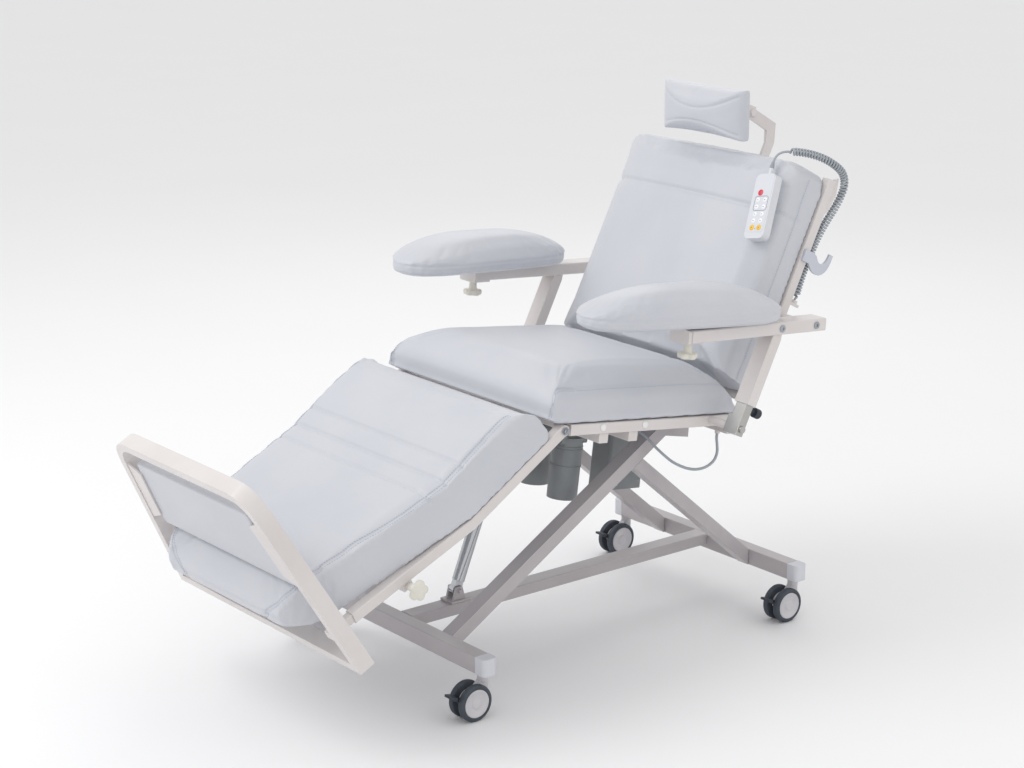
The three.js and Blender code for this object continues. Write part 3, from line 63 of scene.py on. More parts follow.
MM = 0.001
SIDES = {"left": 1, "right": -1}
ENDS = ("front", "rear")
WELD = 0.02  # corners of a faceted solid that are closer than this are one, in mm


# ---------------------------------------------------------------- places


def pivot(joint: str) -> Vector:
    """Find where a joint turns.

    Args:
        joint: the joint's name in the record.

    Returns:
        Its pivot at rest, in metres.
    """
    found = next(j for j in frame["joints"] if j["name"] == joint)
    return Vector(found["pos_m"])


def middle(node: str) -> Vector:
    """Return the middle of a CAD node's box, in metres."""
    low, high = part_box(node)
    return (low + high) / 2


@dataclass(frozen=True)
class Place:
    """A local frame turned about the X axis. Its own numbers are millimetres."""

    origin: Vector
    turn: float

    def matrix(self) -> Matrix:
        """Return the matrix from this frame, in metres, to the row frame."""
        return Matrix.Translation(self.origin) @ Matrix.Rotation(math.radians(self.turn), 4, "X")

    def point(self, x: float, y: float, z: float) -> Vector:
        """Return a point given in millimetres here as a point of the row frame."""
        return self.matrix() @ (Vector((x, y, z)) * MM)

    def direction(self, x: float, y: float, z: float) -> Vector:
        """Return a direction given here as a direction of the row frame."""
        return self.matrix().to_3x3() @ Vector((x, y, z))

    def moved(self, y: float, z: float, turn: float = 0.0) -> "Place":
        """Return a frame at (0, y, z) of this one, turned further."""
        return Place(self.point(0, y, z), self.turn + turn)

    def local(self, points: np.ndarray) -> np.ndarray:
        """Turn row frame points in metres into this frame's millimetres."""
        m = np.array(self.matrix().inverted())
        return (points @ m[:3, :3].T + m[:3, 3]) / MM

    def world(self, points: np.ndarray) -> np.ndarray:
        """Turn this frame's millimetres into row frame points in metres."""
        m = np.array(self.matrix())
        return (points * MM) @ m[:3, :3].T + m[:3, 3]


SEAT = Place(pivot("leg_lift"), -7.5)
LEG = Place(pivot("leg_lift"), 32.5)
LEG_LOW = LEG.moved(-285, 0, -8.5)
FOOT = LEG_LOW.moved(-368, 0, 28.5)
BACK = Place(pivot("back_recline"), -27.0)


def arm_place(side: str) -> Place:
    """Return the frame of one armrest bar, at its post pin and in line with the bar."""
    return Place(pivot(f"arm_bar_{side}_link"), -4.8)


# ---------------------------------------------------------------- finishes


class Grain(Enum):
    """How a surface was made, which gives the pattern that its bump follows."""

    PEBBLE = "embossed leathercloth"
    ORANGE_PEEL = "baked powder"
    SPARK = "spark eroded mould"
    BRUSHED = "brushed along its length"
    PLATED = "barrel plated"
    SMOOTH = "polished mould"


PEBBLE_WANDER = 0.0012  # how far the pebbles stray from even cells, in metres
STREAK = (1.0, 0.04, 0.04)  # a brushed surface's noise, drawn out along its length
DETAIL = {
    Grain.ORANGE_PEEL: 1.0,
    Grain.SPARK: 6.0,
    Grain.PLATED: 4.0,
    Grain.SMOOTH: 1.0,
    Grain.BRUSHED: 3.0,
}


def linear(code: str) -> tuple[float, float, float, float]:
    """Turn an sRGB hex colour into the linear colour that a shader needs.

    Args:
        code: six hex digits after a hash sign.

    Returns:
        Linear red, green, blue and an alpha of 1.
    """
    parts = [int(code[i : i + 2], 16) / 255 for i in (1, 3, 5)]
    red, green, blue = (p / 12.92 if p <= 0.04045 else ((p + 0.055) / 1.055) ** 2.4 for p in parts)
    return red, green, blue, 1.0


def add_node(
    tree: bpy.types.NodeTree,
    kind: str,
    inputs: dict[Any, Any] | None = None,
    links: dict[Any, bpy.types.NodeSocket] | None = None,
    **settings: Any,
) -> bpy.types.Node:
    """Add one shader node.

    Args:
        tree: the material's node tree.
        kind: the node's type name.
        inputs: values of its unlinked sockets, by name or number.
        links: output sockets that feed its sockets, by name or number.
        **settings: the node's own properties.

    Returns:
        The new node.
    """
    node = tree.nodes.new(kind)
    for name, value in settings.items():
        setattr(node, name, value)
    for key, value in (inputs or {}).items():
        node.inputs[key].default_value = value
    for key, socket in (links or {}).items():
        tree.links.new(socket, node.inputs[key])
    return node


@dataclass(frozen=True)
class Finish:
    """One real surface: its material, how it was made and what that gives the eye.

    Sizes are millimetres of the real surface. The mottle is the slow change of colour
    that dye lots, powder thickness and handling leave.
    """

    name: str
    colour: str
    roughness: float
    grain: Grain
    grain_mm: float
    depth_mm: float
    mottle: str
    mottle_mm: float = 90.0
    mottle_share: float = 0.35
    metallic: float = 0.0
    ior: float = 1.5
    coat: float = 0.0
    sheen: float = 0.0
    made: dict[str, bpy.types.Material] = field(default_factory=dict, compare=False, repr=False)

    def pattern(self, tree: bpy.types.NodeTree, place: bpy.types.NodeSocket) -> bpy.types.NodeSocket:
        """Add the nodes of the surface's own pattern.

        Args:
            tree: the material's node tree.
            place: object coordinates, in metres.

        Returns:
            The pattern's height, from 0 to 1.
        """
        per_metre = 1 / (self.grain_mm * MM)
        if self.grain is Grain.PEBBLE:
            slow = {"Scale": per_metre * 0.6, "Detail": 2.0}
            bend = add_node(tree, "ShaderNodeTexNoise", slow, {"Vector": place}).outputs["Color"]
            moved = add_node(
                tree, "ShaderNodeMix", {0: PEBBLE_WANDER}, {4: place, 5: bend}, data_type="VECTOR"
            )
            even = {"Scale": per_metre, "Smoothness": 0.7}
            cells = add_node(
                tree, "ShaderNodeTexVoronoi", even, {"Vector": moved.outputs[1]}, feature="SMOOTH_F1"
            )
            return cells.outputs["Distance"]
        if self.grain is Grain.BRUSHED:
            place = add_node(tree, "ShaderNodeMapping", {"Scale": STREAK}, {"Vector": place}).outputs[0]
        noise = {"Scale": per_metre, "Detail": DETAIL[self.grain]}
        return add_node(tree, "ShaderNodeTexNoise", noise, {"Vector": place}).outputs["Fac"]

    def material(self) -> bpy.types.Material:
        """Build the material once and return it."""
        if self.name in self.made:
            return self.made[self.name]
        material = bpy.data.materials.new(self.name)
        material.use_nodes = True
        tree = material.node_tree
        shader = tree.nodes["Principled BSDF"]
        place = add_node(tree, "ShaderNodeTexCoord").outputs["Object"]
        clouds = {"Scale": 1 / (self.mottle_mm * MM), "Detail": 4.0, "Roughness": 0.55}
        slow = add_node(tree, "ShaderNodeTexNoise", clouds, {"Vector": place}).outputs["Fac"]
        share = {"From Min": 0.35, "From Max": 0.7, "To Min": 0.0, "To Max": self.mottle_share}
        spread = add_node(tree, "ShaderNodeMapRange", share, {"Value": slow}).outputs[0]
        height = self.pattern(tree, place)
        colours = {6: linear(self.colour), 7: linear(self.mottle)}
        hue = add_node(tree, "ShaderNodeMix", colours, {0: spread}, data_type="RGBA")
        tree.links.new(hue.outputs[2], shader.inputs["Base Color"])
        wear = {"To Min": self.roughness - 0.05, "To Max": self.roughness + 0.07}
        gloss = add_node(tree, "ShaderNodeMapRange", wear, {"Value": height})
        tree.links.new(gloss.outputs[0], shader.inputs["Roughness"])
        relief = {"Strength": 0.6, "Distance": self.depth_mm * MM}
        bump = add_node(tree, "ShaderNodeBump", relief, {"Height": height})
        tree.links.new(bump.outputs[0], shader.inputs["Normal"])
        shader.inputs["Metallic"].default_value = self.metallic
        if not self.metallic:
            shader.inputs["IOR"].default_value = self.ior
        shader.inputs["Coat Weight"].default_value = self.coat
        shader.inputs["Sheen Weight"].default_value = self.sheen
        self.made[self.name] = material
        return material


# PVC leathercloth, calendered and embossed: a soft broad sheen over a pebble grain. The real
# grain is about 1 mm, and it is drawn at 1.8 mm so that it shows.
LEATHERCLOTH = Finish(
    "pvc_leathercloth_embossed", "#C9CBD1", 0.44, Grain.PEBBLE, 1.8, 0.16, "#C0C3CB", 160, 0.5, sheen=0.08
)
# Bonded polyester thread, twisted and waxed: fine and slightly darker than the cloth.
THREAD = Finish("polyester_thread_twisted", "#B3B9C6", 0.6, Grain.SMOOTH, 0.8, 0.08, "#A4ABBA", 20)
# Steel tube, powder coated warm white: a faint orange peel of about 2 mm under an even gloss.
POWDER_COAT = Finish(
    "steel_powder_coated_white", "#DCD7D5", 0.33, Grain.ORANGE_PEEL, 2.2, 0.05, "#D0C9C6", 140, 0.6, coat=0.15
)
# The base is the same process in a greyer shade.
BASE_COAT = Finish(
    "steel_powder_coated_grey", "#B9B4B6", 0.36, Grain.ORANGE_PEEL, 2.2, 0.05, "#ABA5A8", 140, 0.6, coat=0.12
)
# Hook and handle brackets, powder coated a blue grey.
HOOK_COAT = Finish(
    "steel_powder_coated_blue_grey", "#C9CCD6", 0.38, Grain.ORANGE_PEEL, 2.2, 0.05, "#BDC1CC", 90, 0.5
)
# Polypropylene end caps, injection moulded in a spark eroded mould: matt with a fine tooth.
CAP = Finish("polypropylene_moulded_cap", "#D3D4DA", 0.5, Grain.SPARK, 0.9, 0.05, "#C6C8D0", 40, 0.5)
# White polyethylene tube plugs and bushes, moulded smooth.
PLUG = Finish("polyethylene_moulded_white", "#EEEDEC", 0.42, Grain.SMOOTH, 3.0, 0.02, "#E2E1E0", 30, 0.5)
# Thermoplastic rubber tread, moulded on: dark, dull, dust in its pores.
TREAD = Finish("rubber_moulded_tread", "#3A4049", 0.68, Grain.SPARK, 1.6, 0.12, "#50565F", 25, 0.6)
# ABS wheel discs and castor housings, moulded with a satin mould face.
CASTOR_SHELL = Finish("abs_moulded_light_grey", "#CBC9CC", 0.36, Grain.SPARK, 0.9, 0.03, "#BDBBC0", 30, 0.5)
# Glass filled nylon brake pedals: nearly black with a faint flow pattern.
PEDAL = Finish("nylon_moulded_dark", "#2B303A", 0.48, Grain.SPARK, 1.2, 0.06, "#3A404B", 18, 0.6)
# Actuator housings: ABS and painted aluminium cans in one mid grey.
MOTOR_SHELL = Finish("abs_moulded_mid_grey", "#8B8F91", 0.42, Grain.SPARK, 1.0, 0.05, "#7C8082", 45, 0.6)
# Ivory phenolic star knobs, pressed: a warm shade and a soft shine.
KNOB = Finish(
    "phenolic_pressed_ivory", "#E0DED3", 0.35, Grain.SMOOTH, 3.0, 0.03, "#D3D0C2", 22, 0.5, coat=0.1
)
# Stainless steel bracket, brushed with a 180 grit belt: the 0.15 mm lines are drawn at 0.5 mm.
STAINLESS = Finish(
    "stainless_steel_brushed", "#BDBCB9", 0.3, Grain.BRUSHED, 0.5, 0.03, "#A6A5A2", 60, 0.5, metallic=1.0
)
# Zinc plated bolts and nuts, barrel plated: bright and slightly clouded.
ZINC = Finish("steel_zinc_plated", "#B4B8BD", 0.3, Grain.PLATED, 1.5, 0.03, "#8F959C", 8, 0.6, metallic=1.0)
# Ground and chromed actuator rods.
ROD = Finish(
    "steel_ground_chromed", "#C4C6C9", 0.16, Grain.BRUSHED, 0.4, 0.01, "#AEB1B5", 60, 0.4, metallic=1.0
)
# PVC cable sheath, extruded: an even satin skin that picks up dust.
SHEATH = Finish("pvc_extruded_sheath", "#A7ADB3", 0.45, Grain.SMOOTH, 2.0, 0.04, "#979DA5", 35, 0.5)
# ABS handset shell, moulded pale grey.
HANDSET_SHELL = Finish("abs_moulded_pale_grey", "#DADCE0", 0.38, Grain.SPARK, 0.8, 0.03, "#CED1D7", 35, 0.5)
# Polyester keypad film, screen printed and embossed over its domes.
FILM = Finish("polyester_film_printed", "#D9DBE1", 0.3, Grain.SMOOTH, 2.5, 0.02, "#D2D5DB", 25, 0.4)
KEY_WHITE = Finish("polyester_dome_white", "#F4F5F7", 0.28, Grain.SMOOTH, 2.5, 0.02, "#EAECEF", 9, 0.4)
KEY_RED = Finish("polyester_dome_red", "#DE3E4E", 0.3, Grain.SMOOTH, 2.5, 0.02, "#CC3242", 9, 0.4)
KEY_YELLOW = Finish("polyester_dome_yellow", "#F2C23C", 0.3, Grain.SMOOTH, 2.5, 0.02, "#E6B22E", 9, 0.4)
KEY_MARK = Finish("screen_ink_dark", "#5E6570", 0.5, Grain.SMOOTH, 2.5, 0.01, "#525963", 9, 0.4)
# Studio floor: white paper, laid flat.
PAPER = Finish("paper_sweep_white", "#F3F3F4", 0.85, Grain.SPARK, 4.0, 0.02, "#F0F0F1", 600, 0.3)


# ---------------------------------------------------------------- mesh helpers


def put(piece: bpy.types.Object, body: str) -> bpy.types.Object:
    """Make a piece ride on a body.

    Args:
        piece: the finished object.
        body: the CAD body that carries it.

    Returns:
        The same object.
    """
    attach(piece, body)
    return piece


def make_piece(
    name: str, mesh: bmesh.types.BMesh, finishes: Iterable[Finish], crease: float = 38.0
) -> bpy.types.Object:
    """Turn a bmesh into a smooth shaded object with its materials.

    Args:
        name: the piece's name.
        mesh: the bmesh, which is freed.
        finishes: finishes in the order of the faces' material numbers.
        crease: the angle in degrees over which an edge stays sharp.

    Returns:
        The new object.
    """
    data = bpy.data.meshes.new(name)
    bmesh.ops.recalc_face_normals(mesh, faces=mesh.faces)
    mesh.to_mesh(data)
    mesh.free()
    data.polygons.foreach_set("use_smooth", [True] * len(data.polygons))
    data.set_sharp_from_angle(angle=math.radians(crease))
    for finish in finishes:
        data.materials.append(finish.material())
    piece = bpy.data.objects.new(name, data)
    bpy.context.scene.collection.objects.link(piece)
    return piece


def surface(data: bpy.types.Mesh) -> BVHTree:
    """Return a mesh's faces as a tree that finds places on them."""
    return BVHTree.FromPolygons([v.co for v in data.vertices], [p.vertices for p in data.polygons])


def add_ring(
    mesh: bmesh.types.BMesh, outline: Iterable[tuple[float, float]], level: float, matrix: Matrix
) -> list[bmesh.types.BMVert]:
    """Add an outline's corners, in mm, at a height in mm of a matrix's frame."""
    return [mesh.verts.new(matrix @ (Vector((x, y, level)) * MM)) for x, y in outline]


def bridge(mesh: bmesh.types.BMesh, rings: list[list[bmesh.types.BMVert]], material: int = 0) -> None:
    """Join rings of corners with faces. A ring of one corner closes to a point.

    Args:
        mesh: the bmesh to add to.
        rings: the rings, in order.
        material: the material number of the faces.
    """
    for low, high in zip(rings, rings[1:]):
        count = max(len(low), len(high))
        for i in range(count):
            j = (i + 1) % count
            corners = (low[i % len(low)], low[j % len(low)], high[j % len(high)], high[i % len(high)])
            unique = list(dict.fromkeys(corners))
            if len(unique) > 2:
                mesh.faces.new(unique).material_index = material


def add_lathe(
    mesh: bmesh.types.BMesh,
    profile: list[tuple[float, float]],
    matrix: Matrix,
    steps: int = 32,
    material: int = 0,
) -> None:
    """Add a turned shape to a bmesh.

    Args:
        mesh: the bmesh to add to.
        profile: (radius, height) points in mm from the axis out and back to the axis.
        matrix: from the shape's frame, with the axis along Z in metres, to the row frame.
        steps: sides round the axis.
        material: the material number of its faces.
    """
    rings = []
    for radius, height in profile:
        turns = [2 * math.pi * i / steps for i in range(steps if radius > 1e-6 else 1)]
        outline = [(radius * math.cos(t), radius * math.sin(t)) for t in turns]
        rings.append(add_ring(mesh, outline, height, matrix))
    bridge(mesh, rings, material)


def add_prism(
    mesh: bmesh.types.BMesh,
    outline: list[tuple[float, float]],
    low: float,
    high: float,
    matrix: Matrix,
    chamfer: float = 0.0,
    material: int = 0,
) -> None:
    """Add a straight prism with chamfered rims to a bmesh.

    Args:
        mesh: the bmesh to add to.
        outline: the section's points in mm.
        low: the lower face's height in mm.
        high: the upper face's height in mm.
        matrix: from the prism's frame, in metres, to the row frame.
        chamfer: how far the rims are cut back, in mm.
        material: the material number of its faces.
    """
    points = np.array(outline, float)
    spread = points - points.mean(0)
    inner = points.mean(0) + spread * (1 - chamfer / np.abs(spread).max())
    levels = [(inner, low), (points, low + chamfer), (points, high - chamfer), (inner, high)]
    if chamfer <= 0:
        levels = [(points, low), (points, high)]
    rings = [add_ring(mesh, ring.tolist(), height, matrix) for ring, height in levels]
    bridge(mesh, rings, material)
    mesh.faces.new(rings[0][::-1]).material_index = material
    mesh.faces.new(rings[-1]).material_index = material


def round_rectangle(width: float, height: float, radius: float, steps: int = 5) -> list[tuple[float, float]]:
    """Return a rectangle with round corners, centred on the origin.

    Args:
        width: along X, in mm.
        height: along Y, in mm.
        radius: corner radius, in mm.
        steps: points in each corner, less one.

    Returns:
        The outline's points, counter-clockwise.
    """
    points = []
    for corner, (sx, sy) in enumerate([(1, 1), (-1, 1), (-1, -1), (1, -1)]):
        for i in range(steps + 1):
            turn = math.pi / 2 * (corner + i / steps)
            x = sx * (width / 2 - radius) + radius * math.cos(turn)
            y = sy * (height / 2 - radius) + radius * math.sin(turn)
            points.append((x, y))
    return points


def star(radius: float, hollow: float, lobes: int, steps: int = 60) -> list[tuple[float, float]]:
    """Return the outline of a lobed knob.

    Args:
        radius: over its lobes, in mm.
        hollow: how deep the hollows between the lobes are, in mm.
        lobes: how many lobes it has.
        steps: points round it.

    Returns:
        The outline's points.
    """
    points = []
    for i in range(steps):
        turn = 2 * math.pi * i / steps
        reach = radius - hollow * (0.5 - 0.5 * math.cos(lobes * turn)) ** 1.6
        points.append((reach * math.cos(turn), reach * math.sin(turn)))
    return points


def facing(place: Vector, axis: Vector) -> Matrix:
    """Return a matrix at a place whose Z axis points along an axis."""
    return Matrix.Translation(place) @ axis.to_track_quat("Z", "Y").to_matrix().to_4x4()


ROUTE_STEPS = 24  # points that a curve is first worked out at, between two of its own


def run_lengths(points: list[Vector]) -> np.ndarray:
    """Return how far along a route each of its points lies, in metres."""
    return np.concatenate([[0.0], np.cumsum([(b - a).length for a, b in zip(points, points[1:])])])


def sample(table: np.ndarray, run: np.ndarray, at: float) -> np.ndarray:
    """Return the values that a table, with one row for each length in run, has at one length."""
    return np.array([np.interp(at, run, column) for column in table.T])


def smooth_route(points: list[Vector], step: float) -> list[Vector]:
    """Run one smooth curve through a route's points.

    Args:
        points: the route, in metres.
        step: the spacing of the returned points, in metres.

    Returns:
        Evenly spaced points on a centripetal Catmull-Rom curve.
    """
    ends = [points[0] * 2 - points[1], *points, points[-1] * 2 - points[-2]]
    dense: list[Vector] = []
    for p0, p1, p2, p3 in zip(ends, ends[1:], ends[2:], ends[3:]):
        t1 = max((p1 - p0).length, 1e-9) ** 0.5
        t2 = t1 + max((p2 - p1).length, 1e-9) ** 0.5
        t3 = t2 + max((p3 - p2).length, 1e-9) ** 0.5
        for i in range(ROUTE_STEPS):
            t = t1 + (t2 - t1) * i / ROUTE_STEPS
            a1 = p0 * ((t1 - t) / t1) + p1 * (t / t1)
            a2 = p1 * ((t2 - t) / (t2 - t1)) + p2 * ((t - t1) / (t2 - t1))
            a3 = p2 * ((t3 - t) / (t3 - t2)) + p3 * ((t - t2) / (t3 - t2))
            b1 = a1 * ((t2 - t) / t2) + a2 * (t / t2)
            b2 = a2 * ((t3 - t) / (t3 - t1)) + a3 * ((t - t1) / (t3 - t1))
            dense.append(b1 * ((t2 - t) / (t2 - t1)) + b2 * ((t - t1) / (t2 - t1)))
    dense.append(points[-1])
    run = run_lengths(dense)
    count = max(2, round(run[-1] / step))
    table = np.array([list(p) for p in dense])
    return [Vector(sample(table, run, at)) for at in np.linspace(0, run[-1], count + 1)]


def route_length(points: list[Vector]) -> float:
    """Return the length of a route, in metres."""
    return sum((b - a).length for a, b in zip(points, points[1:]))


def curve_piece(name: str, points: list[Vector], radius: float, finish: Finish) -> bpy.types.Object:
    """Make a round cord as a curve of one open spline.

    Args:
        name: the piece's name.
        points: its centreline, in metres.
        radius: its radius, in metres.
        finish: its finish.

    Returns:
        The curve object.
    """
    data = bpy.data.curves.new(name, "CURVE")
    data.dimensions = "3D"
    data.bevel_depth = radius
    data.bevel_resolution = 3
    data.use_fill_caps = True
    spline = data.splines.new("POLY")
    spline.points.add(len(points) - 1)
    for target, point in zip(spline.points, points):
        target.co = (*point, 1.0)
    spline.use_smooth = True
    data.materials.append(finish.material())
    piece = bpy.data.objects.new(name, data)
    bpy.context.scene.collection.objects.link(piece)
    return piece


# ---------------------------------------------------------------- studio


@dataclass
class Studio:
    """Floor, lights and camera, none of which is part of the object."""

    eye: Vector = Vector((3.8273, -3.00555, 1.9563))
    aim: tuple[float, float, float] = (74.44, 0.0, 51.53)
    lens: float = 81.87
    floor_half: float = 60.0

    def camera(self) -> None:
        """Set the camera at the product view."""
        data = bpy.data.cameras.new("camera")
        data.lens = self.lens
        data.sensor_width = 36.0
        data.clip_end = 200.0
        camera = bpy.data.objects.new("camera", data)
        camera.location = self.eye
        camera.rotation_euler = [math.radians(a) for a in self.aim]
        bpy.context.scene.collection.objects.link(camera)
        bpy.context.scene.camera = camera

    def floor(self) -> None:
        """Lay a plain pale floor."""
        mesh = bmesh.new()
        half = self.floor_half
        corners = [(-half, -half), (half, -half), (half, half), (-half, half)]
        mesh.faces.new([mesh.verts.new((x, y, 0.0)) for x, y in corners])
        floor = make_piece("studio_floor", mesh, [PAPER])

    def softbox(self, name: str, place: tuple[float, float, float], size: float, power: float) -> None:
        """Hang one square softbox that points at the middle of the chair.

        Args:
            name: the light's name.
            place: where it hangs, in metres.
            size: its side, in metres.
            power: its power, in watts.
        """
        data = bpy.data.lights.new(name, "AREA")
        data.shape = "SQUARE"
        data.size = size
        data.energy = power
        light = bpy.data.objects.new(name, data)
        light.location = place
        target = Vector((0.0, 0.0, 0.6))
        light.rotation_euler = (target - light.location).to_track_quat("-Z", "Y").to_euler()
        bpy.context.scene.collection.objects.link(light)

    def lights(self) -> None:
        """Light the chair from a bright room, a large key and a weak fill."""
        world = bpy.data.worlds.new("studio")
        world.use_nodes = True
        background = world.node_tree.nodes["Background"]
        background.inputs["Color"].default_value = (1.0, 1.0, 1.0, 1.0)
        background.inputs["Strength"].default_value = 0.86
        bpy.context.scene.world = world
        self.softbox("key", (-1.4, -2.6, 3.6), 2.4, 58.0)
        self.softbox("side", (3.4, 0.8, 2.2), 2.0, 8.0)
        self.softbox("back", (-2.4, 2.6, 2.8), 2.0, 12.0)
        bpy.context.scene.view_settings.view_transform = "Standard"

    def build(self) -> None:
        """Set up the whole studio."""
        self.camera()
        self.floor()
        self.lights()


# ---------------------------------------------------------------- cords


@dataclass
class Cords:
    """The handset's curly lead and the cable that hangs under the seat."""

    lead_radius: float = 2.6
    coil_radius: float = 9.5
    coil_pitch: float = 6.9
    opening: float = 16.0
    coil_steps: int = 14
    look: float = 0.002  # how far to each side the coil's direction is read, in metres
    ribs: int = 6
    cable_radius: float = 3.2
    lead: tuple = (
        (228.6, -133, 526), (227.4, -133, 532), (226.6, -133, 540), (226.4, -132, 549),
        (227.4, -130, 557), (230, -126, 564), (233.6, -121, 569), (237.4, -115.6, 572.6),
    )
    coil: tuple = (
        (238, -114.8, 573.2), (245, -101, 579), (253, -86, 584), (262, -69, 588), (271, -52, 590),
        (280, -34, 590), (286, -16, 588), (289, 2, 585), (290, 17, 580), (290, 31, 569),
        (289, 40, 551), (287, 42, 530), (285, 40, 505), (283, 35, 480), (281, 30, 452),
        (279, 27, 424), (278, 26, 396), (277, 26, 368), (276, 27, 340), (276, 29, 312),
        (276, 31, 294), (276, 32, 280),
    )
    cable: tuple = (
        (240, 490, -42.6), (240, 490, -52), (240, 494, -68), (240, 497, -86), (239, 492, -104),
        (237, 474, -118), (233, 452, -124), (229, 430, -123), (224, 408, -117), (217, 386, -107),
        (207, 366, -92), (193, 348, -74), (174, 337, -57), (150, 333, -48), (124, 338, -47),
        (100, 354, -52), (82, 367, -58), (70, 370, -59), (59.6, 370, -59),
    )

    def curl(self, line: list[Vector]) -> list[Vector]:
        """Wind the curly stretch as a helix round its centreline.

        Args:
            line: the centreline, evenly spaced, in metres.

        Returns:
            The helix's points, opening from the line at its start and closing at its end.
        """
        total = route_length(line)
        step = self.coil_pitch * MM / self.coil_steps
        count = round(total / step)
        table = np.array([list(p) for p in line])
        run = run_lengths(line)
        winding = (self.coil_radius - self.lead_radius) * MM
        points = []
        side = Vector((1.0, 0.0, 0.0))
        turn = 0.0
        for i in range(count + 1):
            at = total * i / count
            ends = (min(at + self.look, total), max(at - self.look, 0.0))
            centre, ahead, behind = (Vector(sample(table, run, x)) for x in (at, *ends))
            along = (ahead - behind).normalized()
            side = (side - along * side.dot(along)).normalized()
            up = along.cross(side)
            opening = min(1.0, at / self.opening / MM, (total - at) / self.opening / MM)
            opening = opening * opening * (3 - 2 * opening)
            turn += 2 * math.pi / self.coil_steps / (1 + 3 * (1 - opening))
            points.append(centre + (side * math.cos(turn) + up * math.sin(turn)) * winding * opening)
        return points

    def sleeve(
        self, name: str, exit_point: Vector, axis: Vector, length: float, cord: float
    ) -> bpy.types.Object:
        """Make a tapered, ribbed strain relief.

        Args:
            name: the piece's name.
            exit_point: where it starts, in metres.
            axis: the way the cord leaves.
            length: its length, in mm.
            cord: the cord's radius, in mm.

        Returns:
            The new object.
        """
        mesh = bmesh.new()
        profile = [(0.0, 0.0), (cord * 2.0, 0.0)]
        for i in range(self.ribs):
            low = length * (i + 0.15) / self.ribs
            high = length * (i + 0.75) / self.ribs
            taper = cord * (2.0 - 0.75 * i / self.ribs)
            waist = taper * 0.84
            profile += [(taper, low), (taper, high), (waist, high + 0.3), (waist, low + length / self.ribs)]
        profile += [(cord * 1.12, length), (0.0, length)]
        add_lathe(mesh, profile, facing(exit_point, axis), 20)
        return make_piece(name, mesh, [SHEATH])

    def build(self) -> None:
        """Build both cords."""
        lead = smooth_route([BACK.point(*p) for p in self.lead], 0.003)
        curl = self.curl(smooth_route([BACK.point(*p) for p in self.coil], 0.002))
        points = [*lead, *curl[1:]]
        flex = curve_piece("handset_curly_lead", points, self.lead_radius * MM, SHEATH)
        put(flex, "back")
        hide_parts("handset_lead", "handset_coil")
        relief = self.sleeve("handset_strain_relief", points[0], points[3] - points[0], 14, self.lead_radius)
        put(relief, "back")
        LOG.info("curly lead, %.2f m of cord", route_length(points))
        route = smooth_route([SEAT.point(*p) for p in self.cable], 0.004)
        cable = curve_piece("seat_cable_loop", route, self.cable_radius * MM, SHEATH)
        put(cable, "seat")
        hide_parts("seat_cable")
        LOG.info("seat cable, %.2f m", route_length(route))


# ---------------------------------------------------------------- upholstery


SEAM_REACH = 5.0  # a seam draws the cover in over this many of its widths
BROAD = (0.35, 3.2)  # the wide hollow beside a seam: its share of the depth, and its widths
# A stitch's sections: share of its length, height over the cover and girth, in thread radii.
STITCH = ((0.0, -0.6, 0.5), (0.18, 0.55, 1.0), (0.5, 0.85, 1.05), (0.82, 0.55, 1.0), (1.0, -0.6, 0.5))


@dataclass
class Seam:
    """A sewn line: a route of probe points, the way the probes fall and its look.

    The route is in the cushion's frame, in mm. Each probe falls along its direction onto
    the cover, and the seam is drawn where it lands.
    """

    route: list[tuple[float, float, float]]
    fall: tuple[float, float, float] | None
    depth: float = 2.6
    width: float = 4.5
    stitch_rows: tuple[float, ...] = ()


